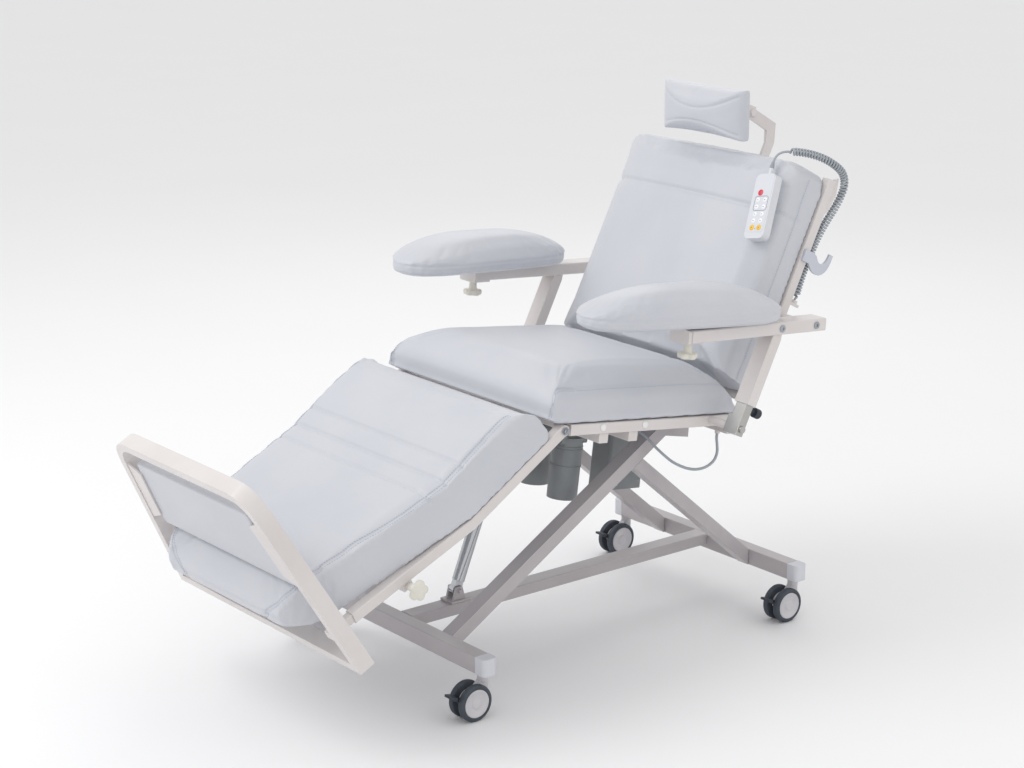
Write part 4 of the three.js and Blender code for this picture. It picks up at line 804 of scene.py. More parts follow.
@dataclass
class Cushion:
    """A foam cushion in a sewn cover, swollen by a cloth simulation from its CAD solid."""

    name: str
    node: str
    body: str
    place: Place
    inset: float = 2.0
    reach: float = 10.0
    voxel: float = 7.5
    pressure: float = 5.0
    proud: float = 6.0
    down: tuple[float, float, float] = (0.0, 0.0, -1.0)
    fill: float = 0.7
    seams: list[Seam] = field(default_factory=list)
    shape: Callable[[np.ndarray], np.ndarray] | None = None
    squash_joint: str | None = None
    stitch_length: float = 4.2
    stitch_gap: float = 1.6
    thread_radius: float = 0.55
    cloth_frames: int = 20
    cloth_quality: int = 2

    def blank(self) -> bpy.types.Object:
        """Copy the CAD solid, shrink it a little and give it an even fine mesh.

        Returns:
            The cover, with the faces that rest on its board in a vertex group.
        """
        source = frame["nodes"][self.node]
        mesh = bmesh.new()
        mesh.from_mesh(source.data)
        bmesh.ops.remove_doubles(mesh, verts=mesh.verts, dist=WELD * MM)
        data = bpy.data.meshes.new(self.name)
        mesh.to_mesh(data)
        mesh.free()
        piece = bpy.data.objects.new(self.name, data)
        bpy.context.scene.collection.objects.link(piece)
        self.remesh(piece, self.voxel)
        normals = self.values(piece, "normal")
        resting = normals @ np.array(self.place.direction(*self.down)) > 0.5
        board = piece.vertex_groups.new(name="stapled_to_board")
        board.add(np.where(resting)[0].tolist(), 1.0, "REPLACE")
        flat = self.place.world(self.points(piece))
        local = self.place.local(flat - normals * (self.inset * MM * ~resting)[:, None])
        self.move(piece, local)
        return piece

    def remesh(self, piece: bpy.types.Object, size: float) -> None:
        """Give a piece an even mesh, and take the steps off it.

        Args:
            piece: the piece.
            size: the mesh's spacing, in mm.
        """
        modifier = piece.modifiers.new("Voxels", "REMESH")
        modifier.mode = "VOXEL"
        modifier.voxel_size = size * MM
        self.apply(piece)
        smooth = piece.modifiers.new("Smooth", "SMOOTH")
        smooth.factor = 0.5
        smooth.iterations = 4
        self.apply(piece)

    def apply(self, piece: bpy.types.Object) -> None:
        """Apply all the modifiers of a piece.

        Args:
            piece: the piece, which gets a new mesh.
        """
        graph = bpy.context.evaluated_depsgraph_get()
        data = bpy.data.meshes.new_from_object(piece.evaluated_get(graph))
        piece.modifiers.clear()
        piece.data = data

    def values(self, piece: bpy.types.Object, kind: str) -> np.ndarray:
        """Return one row for each of a piece's points, of its "co" or its "normal"."""
        flat = np.zeros(len(piece.data.vertices) * 3)
        piece.data.vertices.foreach_get(kind, flat)
        return flat.reshape(-1, 3)

    def write(self, piece: bpy.types.Object, where: np.ndarray) -> None:
        """Put a piece's points at these places of the row frame, in metres."""
        piece.data.vertices.foreach_set("co", where.ravel())
        piece.data.update()

    def points(self, piece: bpy.types.Object) -> np.ndarray:
        """Return a piece's points in the cushion's frame, in mm."""
        return self.place.local(self.values(piece, "co"))

    def move(self, piece: bpy.types.Object, local: np.ndarray) -> None:
        """Put a piece's points where points of the cushion's frame say, in mm."""
        self.write(piece, self.place.world(local))

    def swell(self, piece: bpy.types.Object) -> None:
        """Blow the cover up with Cloth and hold how far each point travels.
        """
        start = self.points(piece)
        cloth = piece.modifiers.new("Cloth", "CLOTH")
        cloth.settings.use_pressure = True
        cloth.settings.uniform_pressure_force = self.pressure
        cloth.settings.vertex_group_mass = "stapled_to_board"
        cloth.settings.effector_weights.gravity = 0.0
        cloth.settings.quality = self.cloth_quality
        cloth.collision_settings.use_collision = False
        cloth.point_cache.frame_start = 1
        cloth.point_cache.frame_end = self.cloth_frames
        for step in range(1, self.cloth_frames + 1):
            bpy.context.scene.frame_set(step)
        self.apply(piece)
        travel = self.points(piece) - start
        size = np.linalg.norm(travel, axis=1)
        held = self.reach * np.tanh(size / self.reach) / np.maximum(size, 1e-6)
        self.move(piece, start + travel * held[:, None])
        bpy.context.scene.frame_set(1)

    def settle(self, piece: bpy.types.Object) -> None:
        """Keep the cover near its solid, flat on the board that it rests on, and shape it.

        Args:
            piece: the cover.
        """
        tree = surface(frame["nodes"][self.node].data)
        down = self.place.direction(*self.down)
        for vertex in piece.data.vertices:
            near, normal, _, _ = tree.find_nearest(vertex.co)
            limit = 0.0 if normal.dot(down) > 0.7 else self.proud * MM
            over = (vertex.co - near).dot(normal) - limit
            if over > 0:
                vertex.co -= normal * over
        if self.shape:
            self.move(piece, self.shape(self.points(piece)))

    def land(self, tree: BVHTree, seam: Seam) -> list[tuple[Vector, Vector]]:
        """Drop a seam's probes onto the cover.

        Args:
            tree: the cover.
            seam: the seam.

        Returns:
            Points on the cover, evenly spaced, and the normals there.
        """
        probes = smooth_route([self.place.point(*p) for p in seam.route], 0.002)
        landed: list[tuple[Vector, Vector]] = []
        fall = self.place.direction(*seam.fall).normalized() if seam.fall else None
        for probe in probes:
            if fall is None:
                point, normal, _, _ = tree.find_nearest(probe)
            else:
                point, normal, _, _ = tree.ray_cast(probe - fall * 0.2, fall)
            if point is not None and (not landed or (point - landed[-1][0]).length < 0.02):
                landed.append((point, normal))
        return landed

    def press_seams(self, piece: bpy.types.Object, lines: list[list[tuple[Vector, Vector]]]) -> None:
        """Draw the cover in along its seams.

        Args:
            piece: the cover.
            lines: where each seam landed on it.
        """
        points, normals = self.values(piece, "co"), self.values(piece, "normal")
        pull = np.zeros(len(points))
        for seam, line in zip(self.seams, lines):
            if not line:
                continue
            tree = kdtree.KDTree(len(line))
            for i, (point, _) in enumerate(line):
                tree.insert(point, i)
            tree.balance()
            low = np.min([p for p, _ in line], axis=0) - 0.02
            high = np.max([p for p, _ in line], axis=0) + 0.02
            near = np.where(np.all((points > low) & (points < high), axis=1))[0]
            for i in near:
                gap = tree.find(points[i])[2] / MM
                if gap < SEAM_REACH * seam.width:
                    sharp = seam.depth * math.exp(-((gap / seam.width) ** 2))
                    broad = BROAD[0] * seam.depth * math.exp(-((gap / (BROAD[1] * seam.width)) ** 2))
                    pull[i] = max(pull[i], sharp + broad)
        self.write(piece, points - normals * (pull * MM)[:, None])

    def sew(self, piece: bpy.types.Object, lines: list[list[tuple[Vector, Vector]]]) -> None:
        """Lay the rows of stitches beside the seams.

        Args:
            piece: the cover.
            lines: where each seam landed on it.
        """
        tree = surface(piece.data)
        thread = bmesh.new()
        pitch = (self.stitch_length + self.stitch_gap) * MM
        for seam, line in zip(self.seams, lines):
            if len(line) < 4:
                continue
            for row in seam.stitch_rows:
                run = []
                for (a, normal), (b, _) in zip(line, line[1:]):
                    along = (b - a).normalized()
                    point, up, _, _ = tree.find_nearest(a + along.cross(normal) * row * MM)
                    run.append((point, up))
                marks = run_lengths([p for p, _ in run])
                table = np.array([[*p, *n] for p, n in run])
                for k in range(int(marks[-1] / pitch)):
                    ends = (k * pitch, k * pitch + self.stitch_length * MM)
                    pair = [sample(table, marks, end) for end in ends]
                    self.add_stitch(thread, *[(Vector(v[:3]), Vector(v[3:]).normalized()) for v in pair])
        if not thread.verts:
            thread.free()
            return
        stitches = make_piece(f"{self.name}_stitching", thread, [THREAD], 60)
        put(stitches, self.body)
        self.give(stitches, piece)

    def give(self, piece: bpy.types.Object, cover: bpy.types.Object) -> None:
        """Give a piece its own copy of its mesh, if the cushion has a squash joint; the piece is not
        shortened.

        Args:
            piece: the cover or its stitching.
            cover: the cover, which gives the length.
        """
        if self.squash_joint:
            along = self.points(cover)[:, 1]
            anchor = self.place.point(0, float(along.min()), 0)
            self.place.direction(0, 1, 0)
            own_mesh(piece)

    def add_stitch(
        self, mesh: bmesh.types.BMesh, a: tuple[Vector, Vector], b: tuple[Vector, Vector]
    ) -> None:
        """Add one stitch: a short bowed thread that dives into the cover at both ends.

        Args:
            mesh: the bmesh to add to.
            a: where it starts on the cover, and the normal there.
            b: where it ends, and the normal there.
        """
        radius = self.thread_radius * MM
        along = (b[0] - a[0]).normalized()
        rings = []
        for share, lift, girth in STITCH:
            normal = a[1].lerp(b[1], share)
            centre = a[0].lerp(b[0], share) + normal * radius * lift
            across = along.cross(normal).normalized()
            sides = [across * math.cos(t) + normal * math.sin(t) for t in (math.pi * i / 3 for i in range(6))]
            rings.append([mesh.verts.new(centre + way * radius * girth) for way in sides])
        bridge(mesh, rings)
        mesh.faces.new(rings[0][::-1])
        mesh.faces.new(rings[-1])

    def build(self) -> bpy.types.Object:
        """Build the cushion, sew it, dress it and put it on its body.

        Returns:
            The cover.
        """
        piece = self.blank()
        self.swell(piece)
        self.settle(piece)
        refine = piece.modifiers.new("Refine", "SUBSURF")
        refine.levels = 1
        refine.render_levels = 1
        self.apply(piece)
        tree = surface(piece.data)
        lines = [self.land(tree, seam) for seam in self.seams]
        self.press_seams(piece, lines)
        piece.data.polygons.foreach_set("use_smooth", [True] * len(piece.data.polygons))
        piece.data.materials.clear()
        piece.data.materials.append(LEATHERCLOTH.material())
        put(piece, self.body)
        self.sew(piece, lines)
        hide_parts(self.node)
        self.give(piece, piece)
        LOG.info("%s: %d faces, %d seams", self.name, len(piece.data.polygons), len(self.seams))
        return piece


def mirrored(points: list[tuple[float, float, float]]) -> list[list[tuple[float, float, float]]]:
    """Return a route and its mirror image across the middle of the chair."""
    return [points, [(-x, y, z) for x, y, z in points]]


def seat_cushion() -> Cushion:
    """Describe the seat cushion: a deep box with side seams and a crowned top.

    Returns:
        The cushion, not yet built.
    """
    seams = []
    for route in mirrored([(276, -42, 22), (277, -43, 50), (277, -36, 82), (278, -12, 96), (279, 40, 97)]):
        seams.append(Seam(route, None, 2.2, 4.0, (-3.4, 3.4)))
    for route in mirrored([(279, 40, 97), (280, 200, 98), (280, 360, 96), (278, 470, 84)]):
        seams.append(Seam(route, None, 1.6, 4.0, (3.2,)))

    def crown(local: np.ndarray) -> np.ndarray:
        """Fill the seat up in its middle and push its front edge out over the leg rest.

        Args:
            local: the cover's points, in mm.

        Returns:
            The same points, moved.
        """
        across = np.clip(1 - np.abs(local[:, 0] / 293) ** 3, 0, 1)
        share = np.clip((local[:, 2] - 30) / 60, 0, 1)
        ahead = np.clip((120 - local[:, 1]) / 160, 0, 1)
        local[:, 2] += share * (4 + 9 * across) * (0.6 + 0.4 * ahead)
        local[:, 1] -= 7 * share * ahead
        return local

    return Cushion("seat_cover", "seat_cushion", "seat", SEAT, seams=seams, shape=crown, fill=0.8)


LEG_OVERHANG = 17.0  # how far the leg cushion's end is carried up to the seat cushion, in mm


def leg_cushion() -> Cushion:
    """Describe the leg cushion: rounded at the foot, double seam round its top, three channels.

    Returns:
        The cushion, not yet built.
    """
    seams = []
    for at in (-233, -284, -330):
        seams.append(Seam([(-276, at, 150), (0, at, 150), (276, at, 150)], (0, 0, -1), 3.6, 4.6))
    rim = [(268, -80, 150), (270, -160, 150), (270, -280, 150), (262, -400, 150), (246, -500, 150),
           (236, -600, 150), (214, -668, 150), (170, -700, 150), (100, -714, 150), (0, -718, 150)]
    for route in mirrored(rim):
        seams.append(Seam(route, (0, 0, -1), 2.2, 4.2, (-3.6, 3.6)))
    return Cushion("leg_cover", "leg_cushion", "leg_rest", LEG, seams=seams, shape=meet_seat,
                   squash_joint="leg_lift", fill=0.75)


def meet_seat(local: np.ndarray) -> np.ndarray:
    """Carry the leg cushion's top end up to the seat cushion, as its gathered corners do.

    Args:
        local: the cover's points, in mm.

    Returns:
        The same points, moved.
    """
    share = np.clip((local[:, 1] + 200) / 150, 0, 1)
    local[:, 1] += LEG_OVERHANG * share * share * (3 - 2 * share)
    return local


def back_cushion() -> Cushion:
    """Describe the back cushion: three seams across its top and one up each side.

    Returns:
        The cushion, not yet built.
    """
    seams = []
    for at in (526, 482, 438):
        seams.append(Seam([(-280, -200, at), (0, -200, at), (280, -200, at)], (0, 1, 0), 3.4, 4.6))
    edge = [(287, -58, 60), (288, -60, 200), (288, -60, 360), (287, -60, 480), (278, -60, 540)]
    for route in mirrored(edge):
        seams.append(Seam(route, (-1 if route[0][0] > 0 else 1, 0, 0), 1.8, 4.2, (3.2,)))
    return Cushion("back_cover", "back_cushion", "back", BACK, down=(0.0, 1.0, 0.0), seams=seams, fill=0.7)


def head_pillow() -> Cushion:
    """Describe the head pillow: pulled in at its middle, with two bowed seams.

    Returns:
        The cushion, not yet built.
    """
    centre = middle("headrest_pad")
    low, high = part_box("headrest_pad")
    half_x = (high.x - low.x) / 2 / MM
    half_z = (high.z - low.z) / 2 / MM
    place = Place(centre, 0.0)

    def waist(local: np.ndarray) -> np.ndarray:
        """Draw the middle in, so that the corners stand out as ears.

        Args:
            local: the cover's points, in mm.

        Returns:
            The same points, moved.
        """
        share = np.clip(np.abs(local[:, 0]) / half_x, 0, 1)
        local[:, 2] *= 0.95 + 0.05 * share**3
        local[:, 1] *= 0.94 + 0.06 * share**2
        return local

    def bow(top: float, mid: float) -> list[tuple[float, float, float]]:
        """Draw a bowed line across the front, from corner to corner.

        Args:
            top: its height at the corners, in mm.
            mid: its height in the middle, in mm.

        Returns:
            The line's probe points.
        """
        count = 9
        xs = [half_x * 0.9 * (2 * i / (count - 1) - 1) for i in range(count)]
        return [(x, -120.0, mid + (top - mid) * (x / (half_x * 0.9)) ** 2) for x in xs]

    seams = [
        Seam(bow(half_z * 0.72, half_z * 0.16), (0, 1, 0), 1.9, 2.6),
        Seam(bow(-half_z * 0.72, -half_z * 0.34), (0, 1, 0), 1.9, 2.6),
    ]
    return Cushion("head_pillow", "headrest_pad", "head_pad", place, reach=9.0, voxel=4.5,
                   down=(0.0, 1.0, 0.0), seams=seams, shape=waist, fill=0.6)


def arm_pad(side: str) -> Cushion:
    """Describe one armrest pad: a tapered crowned pad with a seam round its rim.

    Args:
        side: left or right.

    Returns:
        The cushion, not yet built.
    """
    place = arm_place(side)
    node = frame["nodes"][f"arm_pad_{side}"]
    local = place.local(np.array([v.co for v in node.data.vertices]))
    rim = float(local[:, 2].min()) + 25.0
    near = local[np.abs(local[:, 2] - local[:, 2].min() - 24) < 6]
    centre = near.mean(0)
    turns = np.arctan2(near[:, 1] - centre[1], near[:, 0] - centre[0])
    order = np.argsort(turns)
    loop = [(float(near[i, 0]), float(near[i, 1]), rim) for i in order]
    picked = loop[:: max(1, len(loop) // 40)]
    seam = Seam([*picked, picked[0]], None, 1.5, 3.6)
    bottom, top = local[:, 2].min(), local[:, 2].max()
    middle_y, half_y = (local[:, 1].min() + local[:, 1].max()) / 2, np.ptp(local[:, 1]) / 2
    middle_x, half_x = (local[:, 0].min() + local[:, 0].max()) / 2, np.ptp(local[:, 0]) / 2

    def dome(points: np.ndarray) -> np.ndarray:
        """Draw the top down towards the ends and sides, so that the pad is a low dome.

        Args:
            points: the cover's points, in mm.

        Returns:
            The same points, moved.
        """
        along = np.clip(np.abs(points[:, 1] - middle_y) / half_y, 0, 1)
        across = np.clip(np.abs(points[:, 0] - middle_x) / half_x, 0, 1)
        rise = np.clip(1.04 - along**2.4, 0, 1) ** 0.62 * (1 - 0.42 * across**2.2)
        level = bottom + 22.0
        above = points[:, 2] > level
        lift = (points[above, 2] - level) * rise[above]
        points[above, 2] = level + lift * (top + 2 - level) / (top - level)
        return points

    name = f"arm_pad_{side}"
    return Cushion(f"arm_cover_{side}", name, name, place, reach=8.0, voxel=5.0, seams=[seam],
                   shape=dome, fill=0.75)


def foot_board() -> Cushion:
    """Describe the foot board's thin padded cover."""
    return Cushion("foot_board_cover", "footboard", "foot", FOOT, inset=2.5, reach=4.0, voxel=5.0,
                   fill=0.9, down=(0.0, -1.0, 0.0))


# ---------------------------------------------------------------- castors


@dataclass
class Castor:
    """One twin-wheel castor: the CAD fork and pedal, with finely made wheels."""

    name: str
    inner: float = 8.5
    outer: float = 24.5
    radius: float = 40.0
    hub: float = 30.5

    def wheel(self, mesh: bmesh.types.BMesh, axle: Vector, sign: int) -> None:
        """Add one wheel of the pair.

        Args:
            mesh: the bmesh to add to.
            axle: the axle's middle, in metres.
            sign: 1 for the +X wheel and -1 for the other.
        """
        matrix = facing(axle, Vector((sign, 0, 0)))
        a, b, r, hub = self.inner, self.outer, self.radius, self.hub
        tread = [(9.0, a), (hub + 3, a), (r - 1.6, a + 0.6), (r - 0.3, a + 2.6), (r, a + 5.0), (r, b - 6.0),
                 (r - 0.5, b - 3.4), (r - 2.4, b - 1.4), (r - 5.0, b - 0.5), (hub + 1.6, b - 0.2),
                 (hub + 0.4, b - 1.0), (hub + 0.4, b - 4.0), (9.0, b - 4.0), (9.0, a)]
        add_lathe(mesh, tread, matrix, 64, 0)
        disc = [(0.0, b - 3.8), (hub, b - 3.8), (hub, b - 1.2), (hub - 0.8, b - 0.4), (hub - 3.4, b - 0.3),
                (hub - 4.4, b - 1.2), (12.0, b - 2.4), (10.6, b - 1.0), (9.2, b - 0.5), (0.0, b - 0.4)]
        add_lathe(mesh, disc, matrix, 64, 1)
        bush = [(8.9, a + 0.2), (8.9, b - 4.2), (6.2, b - 4.2), (6.2, a + 0.2), (8.9, a + 0.2)]
        add_lathe(mesh, bush, matrix, 32, 1)

    def build(self) -> None:
        """Build the wheels and dress the fork and pedal."""
        axle = pivot(f"{self.name}_roll")
        mesh = bmesh.new()
        for sign in SIDES.values():
            self.wheel(mesh, axle, sign)
        wheels = make_piece(f"{self.name}_tyres", mesh, [TREAD, CASTOR_SHELL], 40)
        put(wheels, f"{self.name}_wheels")
        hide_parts(f"{self.name}_wheels")
        dress(f"{self.name}_fork", CASTOR_SHELL, 1.2)
        dress(f"{self.name}_pedal", PEDAL, 1.0)


# ---------------------------------------------------------------- CAD nodes


def dress(node: str, finish: Finish, edge: float = 1.0) -> None:
    """Give a CAD node its finish and the small radius that its edges really have.

    Args:
        node: the node's name.
        finish: its finish.
        edge: the radius of its edges, in mm.
    """
    piece = frame["nodes"][node]
    data = piece.data
    if "custom_normal" in data.attributes:
        data.attributes.remove(data.attributes["custom_normal"])
    data.polygons.foreach_set("use_smooth", [True] * len(data.polygons))
    data.materials.clear()
    data.materials.append(finish.material())
    weld = piece.modifiers.new("Weld", "WELD")
    weld.merge_threshold = WELD * MM
    bevel = piece.modifiers.new("Edge", "BEVEL")
    bevel.width = edge * MM
    bevel.segments = 2
    bevel.limit_method = "ANGLE"
    bevel.angle_limit = math.radians(36)
    bevel.use_clamp_overlap = True
    normals = piece.modifiers.new("Shade", "WEIGHTED_NORMAL")
    normals.keep_sharp = True


@dataclass
class Fasteners:
    """Bolts, plugs and washers that show on the outside."""

    across_flats: float = 13.0
    head: float = 5.6
    washer: float = 9.5
    bar_half: float = 25.2

    def bolt(self, name: str, place: Vector, axis: Vector, body: str, scale: float = 1.0) -> None:
        """Make a hexagon bolt head on its washer, with the thread's end on top.

        Args:
            name: the piece's name.
            place: the middle of the washer's seat, in metres.
            axis: the way the head faces.
            body: the body that it is on.
            scale: its size against an M8 bolt.
        """
        mesh = bmesh.new()
        matrix = facing(place, axis)
        w = self.washer * scale
        add_lathe(mesh, [(0, 0), (w, 0), (w, 1.2), (w - 0.4, 1.6), (0, 1.6)], matrix, 32)
        reach = self.across_flats / math.sqrt(3) * scale
        hexagon = [(reach * math.cos(math.pi * i / 3), reach * math.sin(math.pi * i / 3)) for i in range(6)]
        top = 1.6 + self.head * scale
        add_prism(mesh, hexagon, 1.6, top, matrix, 0.7)
        thread, end = 4.0 * scale, 3.2 * scale
        stub = [(0, top - 0.2), (thread, top - 0.2), (thread, top + 1.6), (end, top + 2.2), (0, top + 2.2)]
        add_lathe(mesh, stub, matrix, 24)
        put(make_piece(name, mesh, [ZINC], 30), body)

    def socket(self, name: str, place: Vector, axis: Vector, body: str) -> None:
        """Make a countersunk socket screw in a dished washer.

        Args:
            name: the piece's name.
            place: the middle of its seat, in metres.
            axis: the way the head faces.
            body: the body that it is on.
        """
        mesh = bmesh.new()
        profile = [(0, 0.2), (3.2, 0.2), (3.6, 1.8), (5.2, 2.4), (7.4, 2.2), (8.2, 1.2), (8.2, -0.4),
                   (0, -0.4)]
        add_lathe(mesh, profile, facing(place, axis), 32)
        put(make_piece(name, mesh, [ZINC], 30), body)

    def plug(self, name: str, place: Vector, axis: Vector, body: str, radius: float = 8.0) -> None:
        """Make a domed plastic plug that closes a hole in a tube.

        Args:
            name: the piece's name.
            place: the middle of the hole, in metres.
            axis: the way out of the tube.
            body: the body that it is on.
            radius: its radius, in mm.
        """
        mesh = bmesh.new()
        profile = [(radius, 0), (radius, 0.8), (radius * 0.86, 1.8), (radius * 0.5, 2.6), (0, 2.9)]
        add_lathe(mesh, [(0, 0), *profile], facing(place, axis), 32)
        put(make_piece(name, mesh, [PLUG], 50), body)

    def build(self) -> None:
        """Fit every fastener that shows."""
        for side, sign in SIDES.items():
            out = Vector((sign, 0, 0))
            rail = 290.3 * sign
            self.bolt(f"leg_hinge_bolt_{side}", SEAT.point(rail + 2 * sign, 0, 0), out, "seat", 0.9)
            for number, at in enumerate((104.5, 222.6), 1):
                self.plug(f"rail_plug_{side}_{number}", SEAT.point(rail, at, 2.4), out, "seat")
            bar = arm_place(side)
            face = self.bar_half * sign
            self.socket(f"arm_pin_{side}_front", bar.point(face, 0, 0), out, f"arm_bar_{side}")
            self.socket(f"arm_pin_{side}_rear", bar.point(face, 104.3, 0), out, f"arm_bar_{side}")


@dataclass
class StarKnobs:
    """The lobed knobs that clamp the arm pads and the foot frame."""

    radius: float = 22.0
    hollow: float = 5.0
    lobes: int = 5
    height: float = 13.0

    def knob(self, name: str, node: str, body: str, axis: Vector, inner: Vector) -> None:
        """Make one knob in place of its CAD node.

        Args:
            name: the piece's name.
            node: the CAD node that it stands for.
            body: the body that it is on.
            axis: from the clamp to the knob's end.
            inner: a point on the axis.
        """
        points = np.array([v.co for v in frame["nodes"][node].data.vertices])
        along = (points - np.array(inner)) @ np.array(axis)
        low, high = float(along.min()) / MM, float(along.max()) / MM
        matrix = facing(inner, axis)
        mesh = bmesh.new()
        rows = [(0.86, high - self.height), (0.97, high - self.height + 1.6), (1.0, high - self.height + 4),
                (1.0, high - 4), (0.95, high - 1.4), (0.8, high - 0.3), (0.45, high), (0.0, high + 0.1)]
        outline = star(self.radius, self.hollow, self.lobes)
        rings = []
        for share, level in rows:
            around = [(x * share, y * share) for x, y in outline] if share else [(0, 0)]
            rings.append(add_ring(mesh, around, level, matrix))
        bridge(mesh, rings)
        mesh.faces.new(rings[0][::-1])
        neck = high - self.height
        stem = [(0, low), (8.0, low), (8.0, low + 2), (9.4, neck - 3), (13.0, neck + 0.5), (0, neck + 0.5)]
        add_lathe(mesh, stem, matrix, 32)
        put(make_piece(name, mesh, [KNOB], 50), body)
        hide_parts(node)

    def build(self) -> None:
        """Make the three knobs."""
        for side in SIDES:
            joint = next(j for j in frame["joints"] if j["name"] == f"arm_knob_{side}_turn")
            down = -Vector(joint["axis"]).normalized()
            node = f"arm_knob_{side}"
            self.knob(f"arm_star_knob_{side}", node, node, down, pivot(f"arm_knob_{side}_turn"))
        self.knob("foot_star_knob", "foot_knob", "foot_knob", Vector((1, 0, 0)), pivot("foot_knob_turn"))


@dataclass
class Handset:
    """The hand control: the CAD shell with a printed membrane keypad on its face."""

    width: float = 46.0
    height: float = 134.0
    key: float = 5.4
    rise: float = 1.3
    frame_size: tuple[float, float] = (38.0, 34.0)
    frame_line: float = 0.8

    def face(self) -> Matrix:
        """Find the keypad face.

        Returns:
            A matrix at the middle of the face, with Z out of it and Y up the handset.
        """
        local = BACK.local(np.array([v.co for v in frame["nodes"]["handset"].data.vertices]))
        flat = local[:, [0, 2]] - local[:, [0, 2]].mean(0)
        values, axes = np.linalg.eigh(np.cov(flat.T))
        up = axes[:, int(np.argmax(values))]
        up = up if up[1] > 0 else -up
        front = float(local[:, 1].min())
        centre = (local.min(0) + local.max(0)) / 2
        y_axis = BACK.direction(up[0], 0, up[1]).normalized()
        z_axis = BACK.direction(0, -1, 0).normalized()
        x_axis = y_axis.cross(z_axis)
        matrix = Matrix((x_axis, y_axis, z_axis)).transposed().to_4x4()
        matrix.translation = BACK.point(centre[0], front, centre[2])
        return matrix

    def disc(
        self, mesh: bmesh.types.BMesh, face: Matrix, x: float, y: float, radius: float, rise: float
    ) -> None:
        """Add one embossed key.

        Args:
            mesh: the bmesh to add to.
            face: the keypad face.
            x: its middle across the face, in mm.
            y: its middle up the face, in mm.
            radius: its radius, in mm.
            rise: how far it stands up, in mm.
        """
        matrix = face @ Matrix.Translation(Vector((x, y, 0)) * MM)
        profile = [(0, 0.2), (radius, 0.2), (radius, rise * 0.5), (radius * 0.86, rise * 0.9), (0, rise)]
        add_lathe(mesh, profile, matrix, 28)

    def mark(self, mesh: bmesh.types.BMesh, face: Matrix, x: float, y: float) -> None:
        """Add a plain printed bar to the key at (x, y) mm of the face."""
        matrix = face @ Matrix.Translation(Vector((x, y, 0)) * MM)
        add_prism(mesh, round_rectangle(4.2, 1.1, 0.4, 2), self.rise - 0.1, self.rise + 0.12, matrix)

    def build(self) -> None:
        """Build the keypad and its keys."""
        dress("handset", HANDSET_SHELL, 2.4)
        face = self.face()
        film = bmesh.new()
        add_prism(film, round_rectangle(self.width, self.height, 7.0), -0.4, 0.5, face, 0.2)
        put(make_piece("handset_keypad_film", film, [FILM]), "back")
        bezel = bmesh.new()
        width, height = self.frame_size
        outer = round_rectangle(width, height, 6.0)
        inner = round_rectangle(width - 2 * self.frame_line, height - 2 * self.frame_line, 5.2)
        matrix = face @ Matrix.Translation(Vector((0, -1.0, 0)) * MM)
        levels = ((outer, 0.3), (outer, 0.75), (inner, 0.75), (inner, 0.3))
        rings = [add_ring(bezel, ring, z, matrix) for ring, z in levels]
        bridge(bezel, [*rings, rings[0]])
        put(make_piece("handset_key_frame", bezel, [KEY_MARK]), "back")
        groups = {
            "red": (KEY_RED, [(-7, 24)], 7.2),
            "white": (KEY_WHITE, [(x, y) for x in (-10, 10) for y in (7, -9, -26, -41)], self.key),
            "yellow": (KEY_YELLOW, [(-10, -57), (10, -57)], self.key + 1.2),
        }
        ink = bmesh.new()
        for colour, (finish, spots, radius) in groups.items():
            keys = bmesh.new()
            for x, y in spots:
                self.disc(keys, face, x, y, radius, self.rise)
                self.mark(ink, face, x, y)
            put(make_piece(f"handset_keys_{colour}", keys, [finish]), "back")
        self.disc(ink, face, 0, -60, 1.2, 0.8)
        put(make_piece("handset_key_marks", ink, [KEY_MARK]), "back")


@dataclass
class Actuators:
    """Small moulded details on the drives and the control box under the seat."""

    ring_thick: float = 1.4
    can_radius: float = 34.0
    can_x: float = 55.0
    can_along: float = 217.0
    screw_inset: float = 10.0
    screw_lift: float = 20.0

    def can_rings(self, node: str, body: str, radius: float, x: float, along: float) -> None:
        """Add the joint line rings and end cap rim of one motor can.

        Args:
            node: the drive's CAD node.
            body: the body that it is on.
            radius: the can's radius, in mm.
            x: the can's axis across the chair, in mm.
            along: the can's axis along the seat frame, in mm.
        """
        mesh = bmesh.new()
        for level in (-142, -104, -98):
            matrix = SEAT.matrix() @ Matrix.Translation(Vector((x, along, level)) * MM)
            outer = radius + self.ring_thick
            profile = [(radius - 2, 0), (outer - 0.4, 0), (outer, 0.6), (outer, 2.2), (outer - 0.4, 2.8),
                       (radius - 2, 2.8)]
            add_lathe(mesh, [*profile, profile[0]], matrix, 48)
        put(make_piece(f"{node}_can_rings", mesh, [MOTOR_SHELL]), body)

    def box_lid(self) -> None:
        """Add the four screws of the control box lid."""
        low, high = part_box("control_box")
        profile = [(0, 0), (3.4, 0), (3.4, 0.8), (2.6, 1.3), (0, 1.3)]
        mesh = bmesh.new()
        for x in (low.x + self.screw_inset * MM, high.x - self.screw_inset * MM):
            for share in (0.25, 0.75):
                y = low.y + (high.y - low.y) * share
                place = Vector((x, y, low.z + self.screw_lift * MM))
                add_lathe(mesh, profile, facing(place, Vector((0, 0, -1))), 20)
        put(make_piece("control_box_screws", mesh, [ZINC]), "seat")

    def build(self) -> None:
        """Build the details."""
        self.can_rings("leg_drive", "seat", self.can_radius, self.can_x, self.can_along)
        self.box_lid()


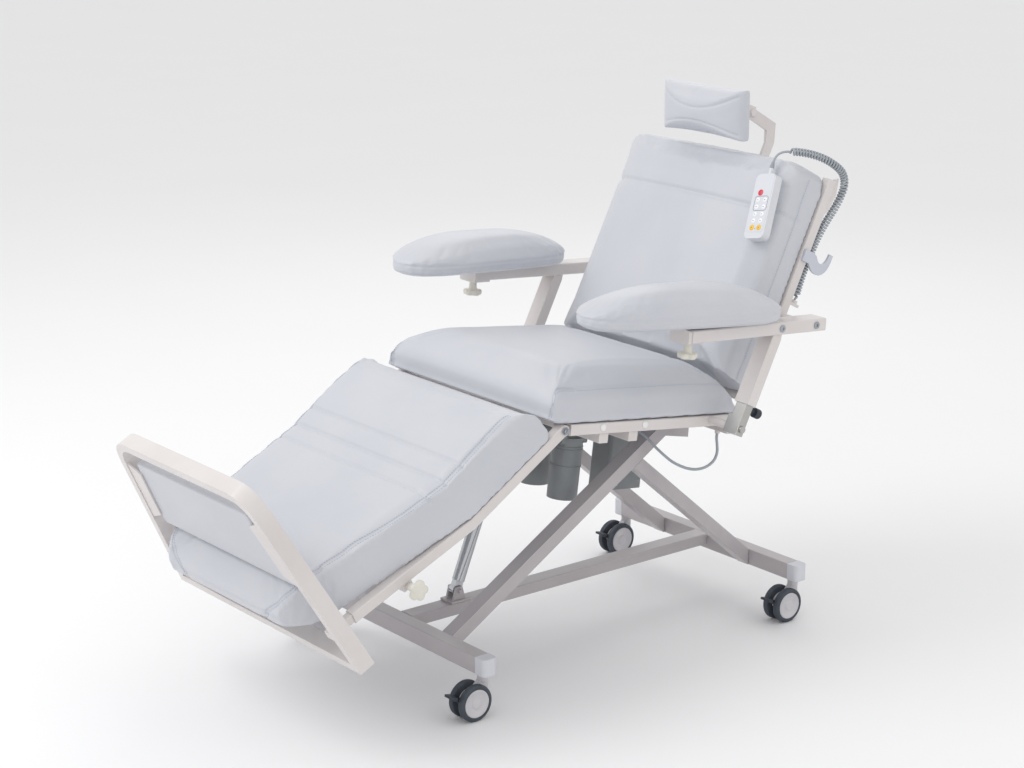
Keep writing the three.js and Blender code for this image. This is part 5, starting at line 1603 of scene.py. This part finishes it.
NODE_FINISHES: dict[str, tuple[Finish, float]] = {
    "front_beam": (BASE_COAT, 1.5),
    "rear_beam": (BASE_COAT, 1.5),
    "centre_spine": (BASE_COAT, 1.5),
    "actuator_clevis": (BASE_COAT, 0.8),
    "seat_frame": (POWDER_COAT, 1.2),
    "control_box": (MOTOR_SHELL, 2.0),
    "leg_drive": (MOTOR_SHELL, 1.2),
    "leg_drive_rod": (ROD, 0.6),
    "back_drive": (MOTOR_SHELL, 1.2),
    "back_drive_rod": (ROD, 0.6),
    "tilt_push_tube": (ROD, 0.6),
    "tilt_drive": (MOTOR_SHELL, 1.2),
    "leg_frame": (POWDER_COAT, 1.2),
    "foot_frame": (POWDER_COAT, 2.0),
    "back_frame": (POWDER_COAT, 1.2),
    "handset_hook": (HOOK_COAT, 1.2),
    "headrest_bracket": (POWDER_COAT, 1.0),
    "headrest_arm": (POWDER_COAT, 1.2),
}


def dress_frame() -> None:
    """Give every CAD node that stays in sight its finish."""
    for side in SIDES:
        for end in ENDS:
            dress(f"beam_cap_{end}_{side}", CAP, 2.0)
        dress(f"long_leg_{side}", BASE_COAT, 1.8)
        dress(f"short_leg_{side}", BASE_COAT, 1.8)
        dress(f"arm_bracket_{side}", STAINLESS, 0.8)
        dress(f"arm_post_{side}", POWDER_COAT, 1.6)
        dress(f"arm_plunger_{side}", PEDAL, 1.0)
        dress(f"arm_bar_{side}", POWDER_COAT, 1.6)
    for node, (finish, edge) in NODE_FINISHES.items():
        dress(node, finish, edge)


def main() -> None:
    """Build the studio, the cords, the soft goods and the hardware in order."""
    logging.basicConfig(level=logging.INFO, format="%(name)s: %(message)s")
    Studio().build()
    Cords().build()
    dress_frame()
    for end in ENDS:
        for side in SIDES:
            Castor(f"castor_{end}_{side}").build()
    for part in (Fasteners(), StarKnobs(), Handset(), Actuators()):
        part.build()
        LOG.info("%s done", type(part).__name__)
    cushions = [seat_cushion(), leg_cushion(), back_cushion(), head_pillow(), foot_board()]
    cushions += [arm_pad(side) for side in SIDES]
    for cushion in cushions:
        cushion.build()


if __name__ == "__main__":
    main()
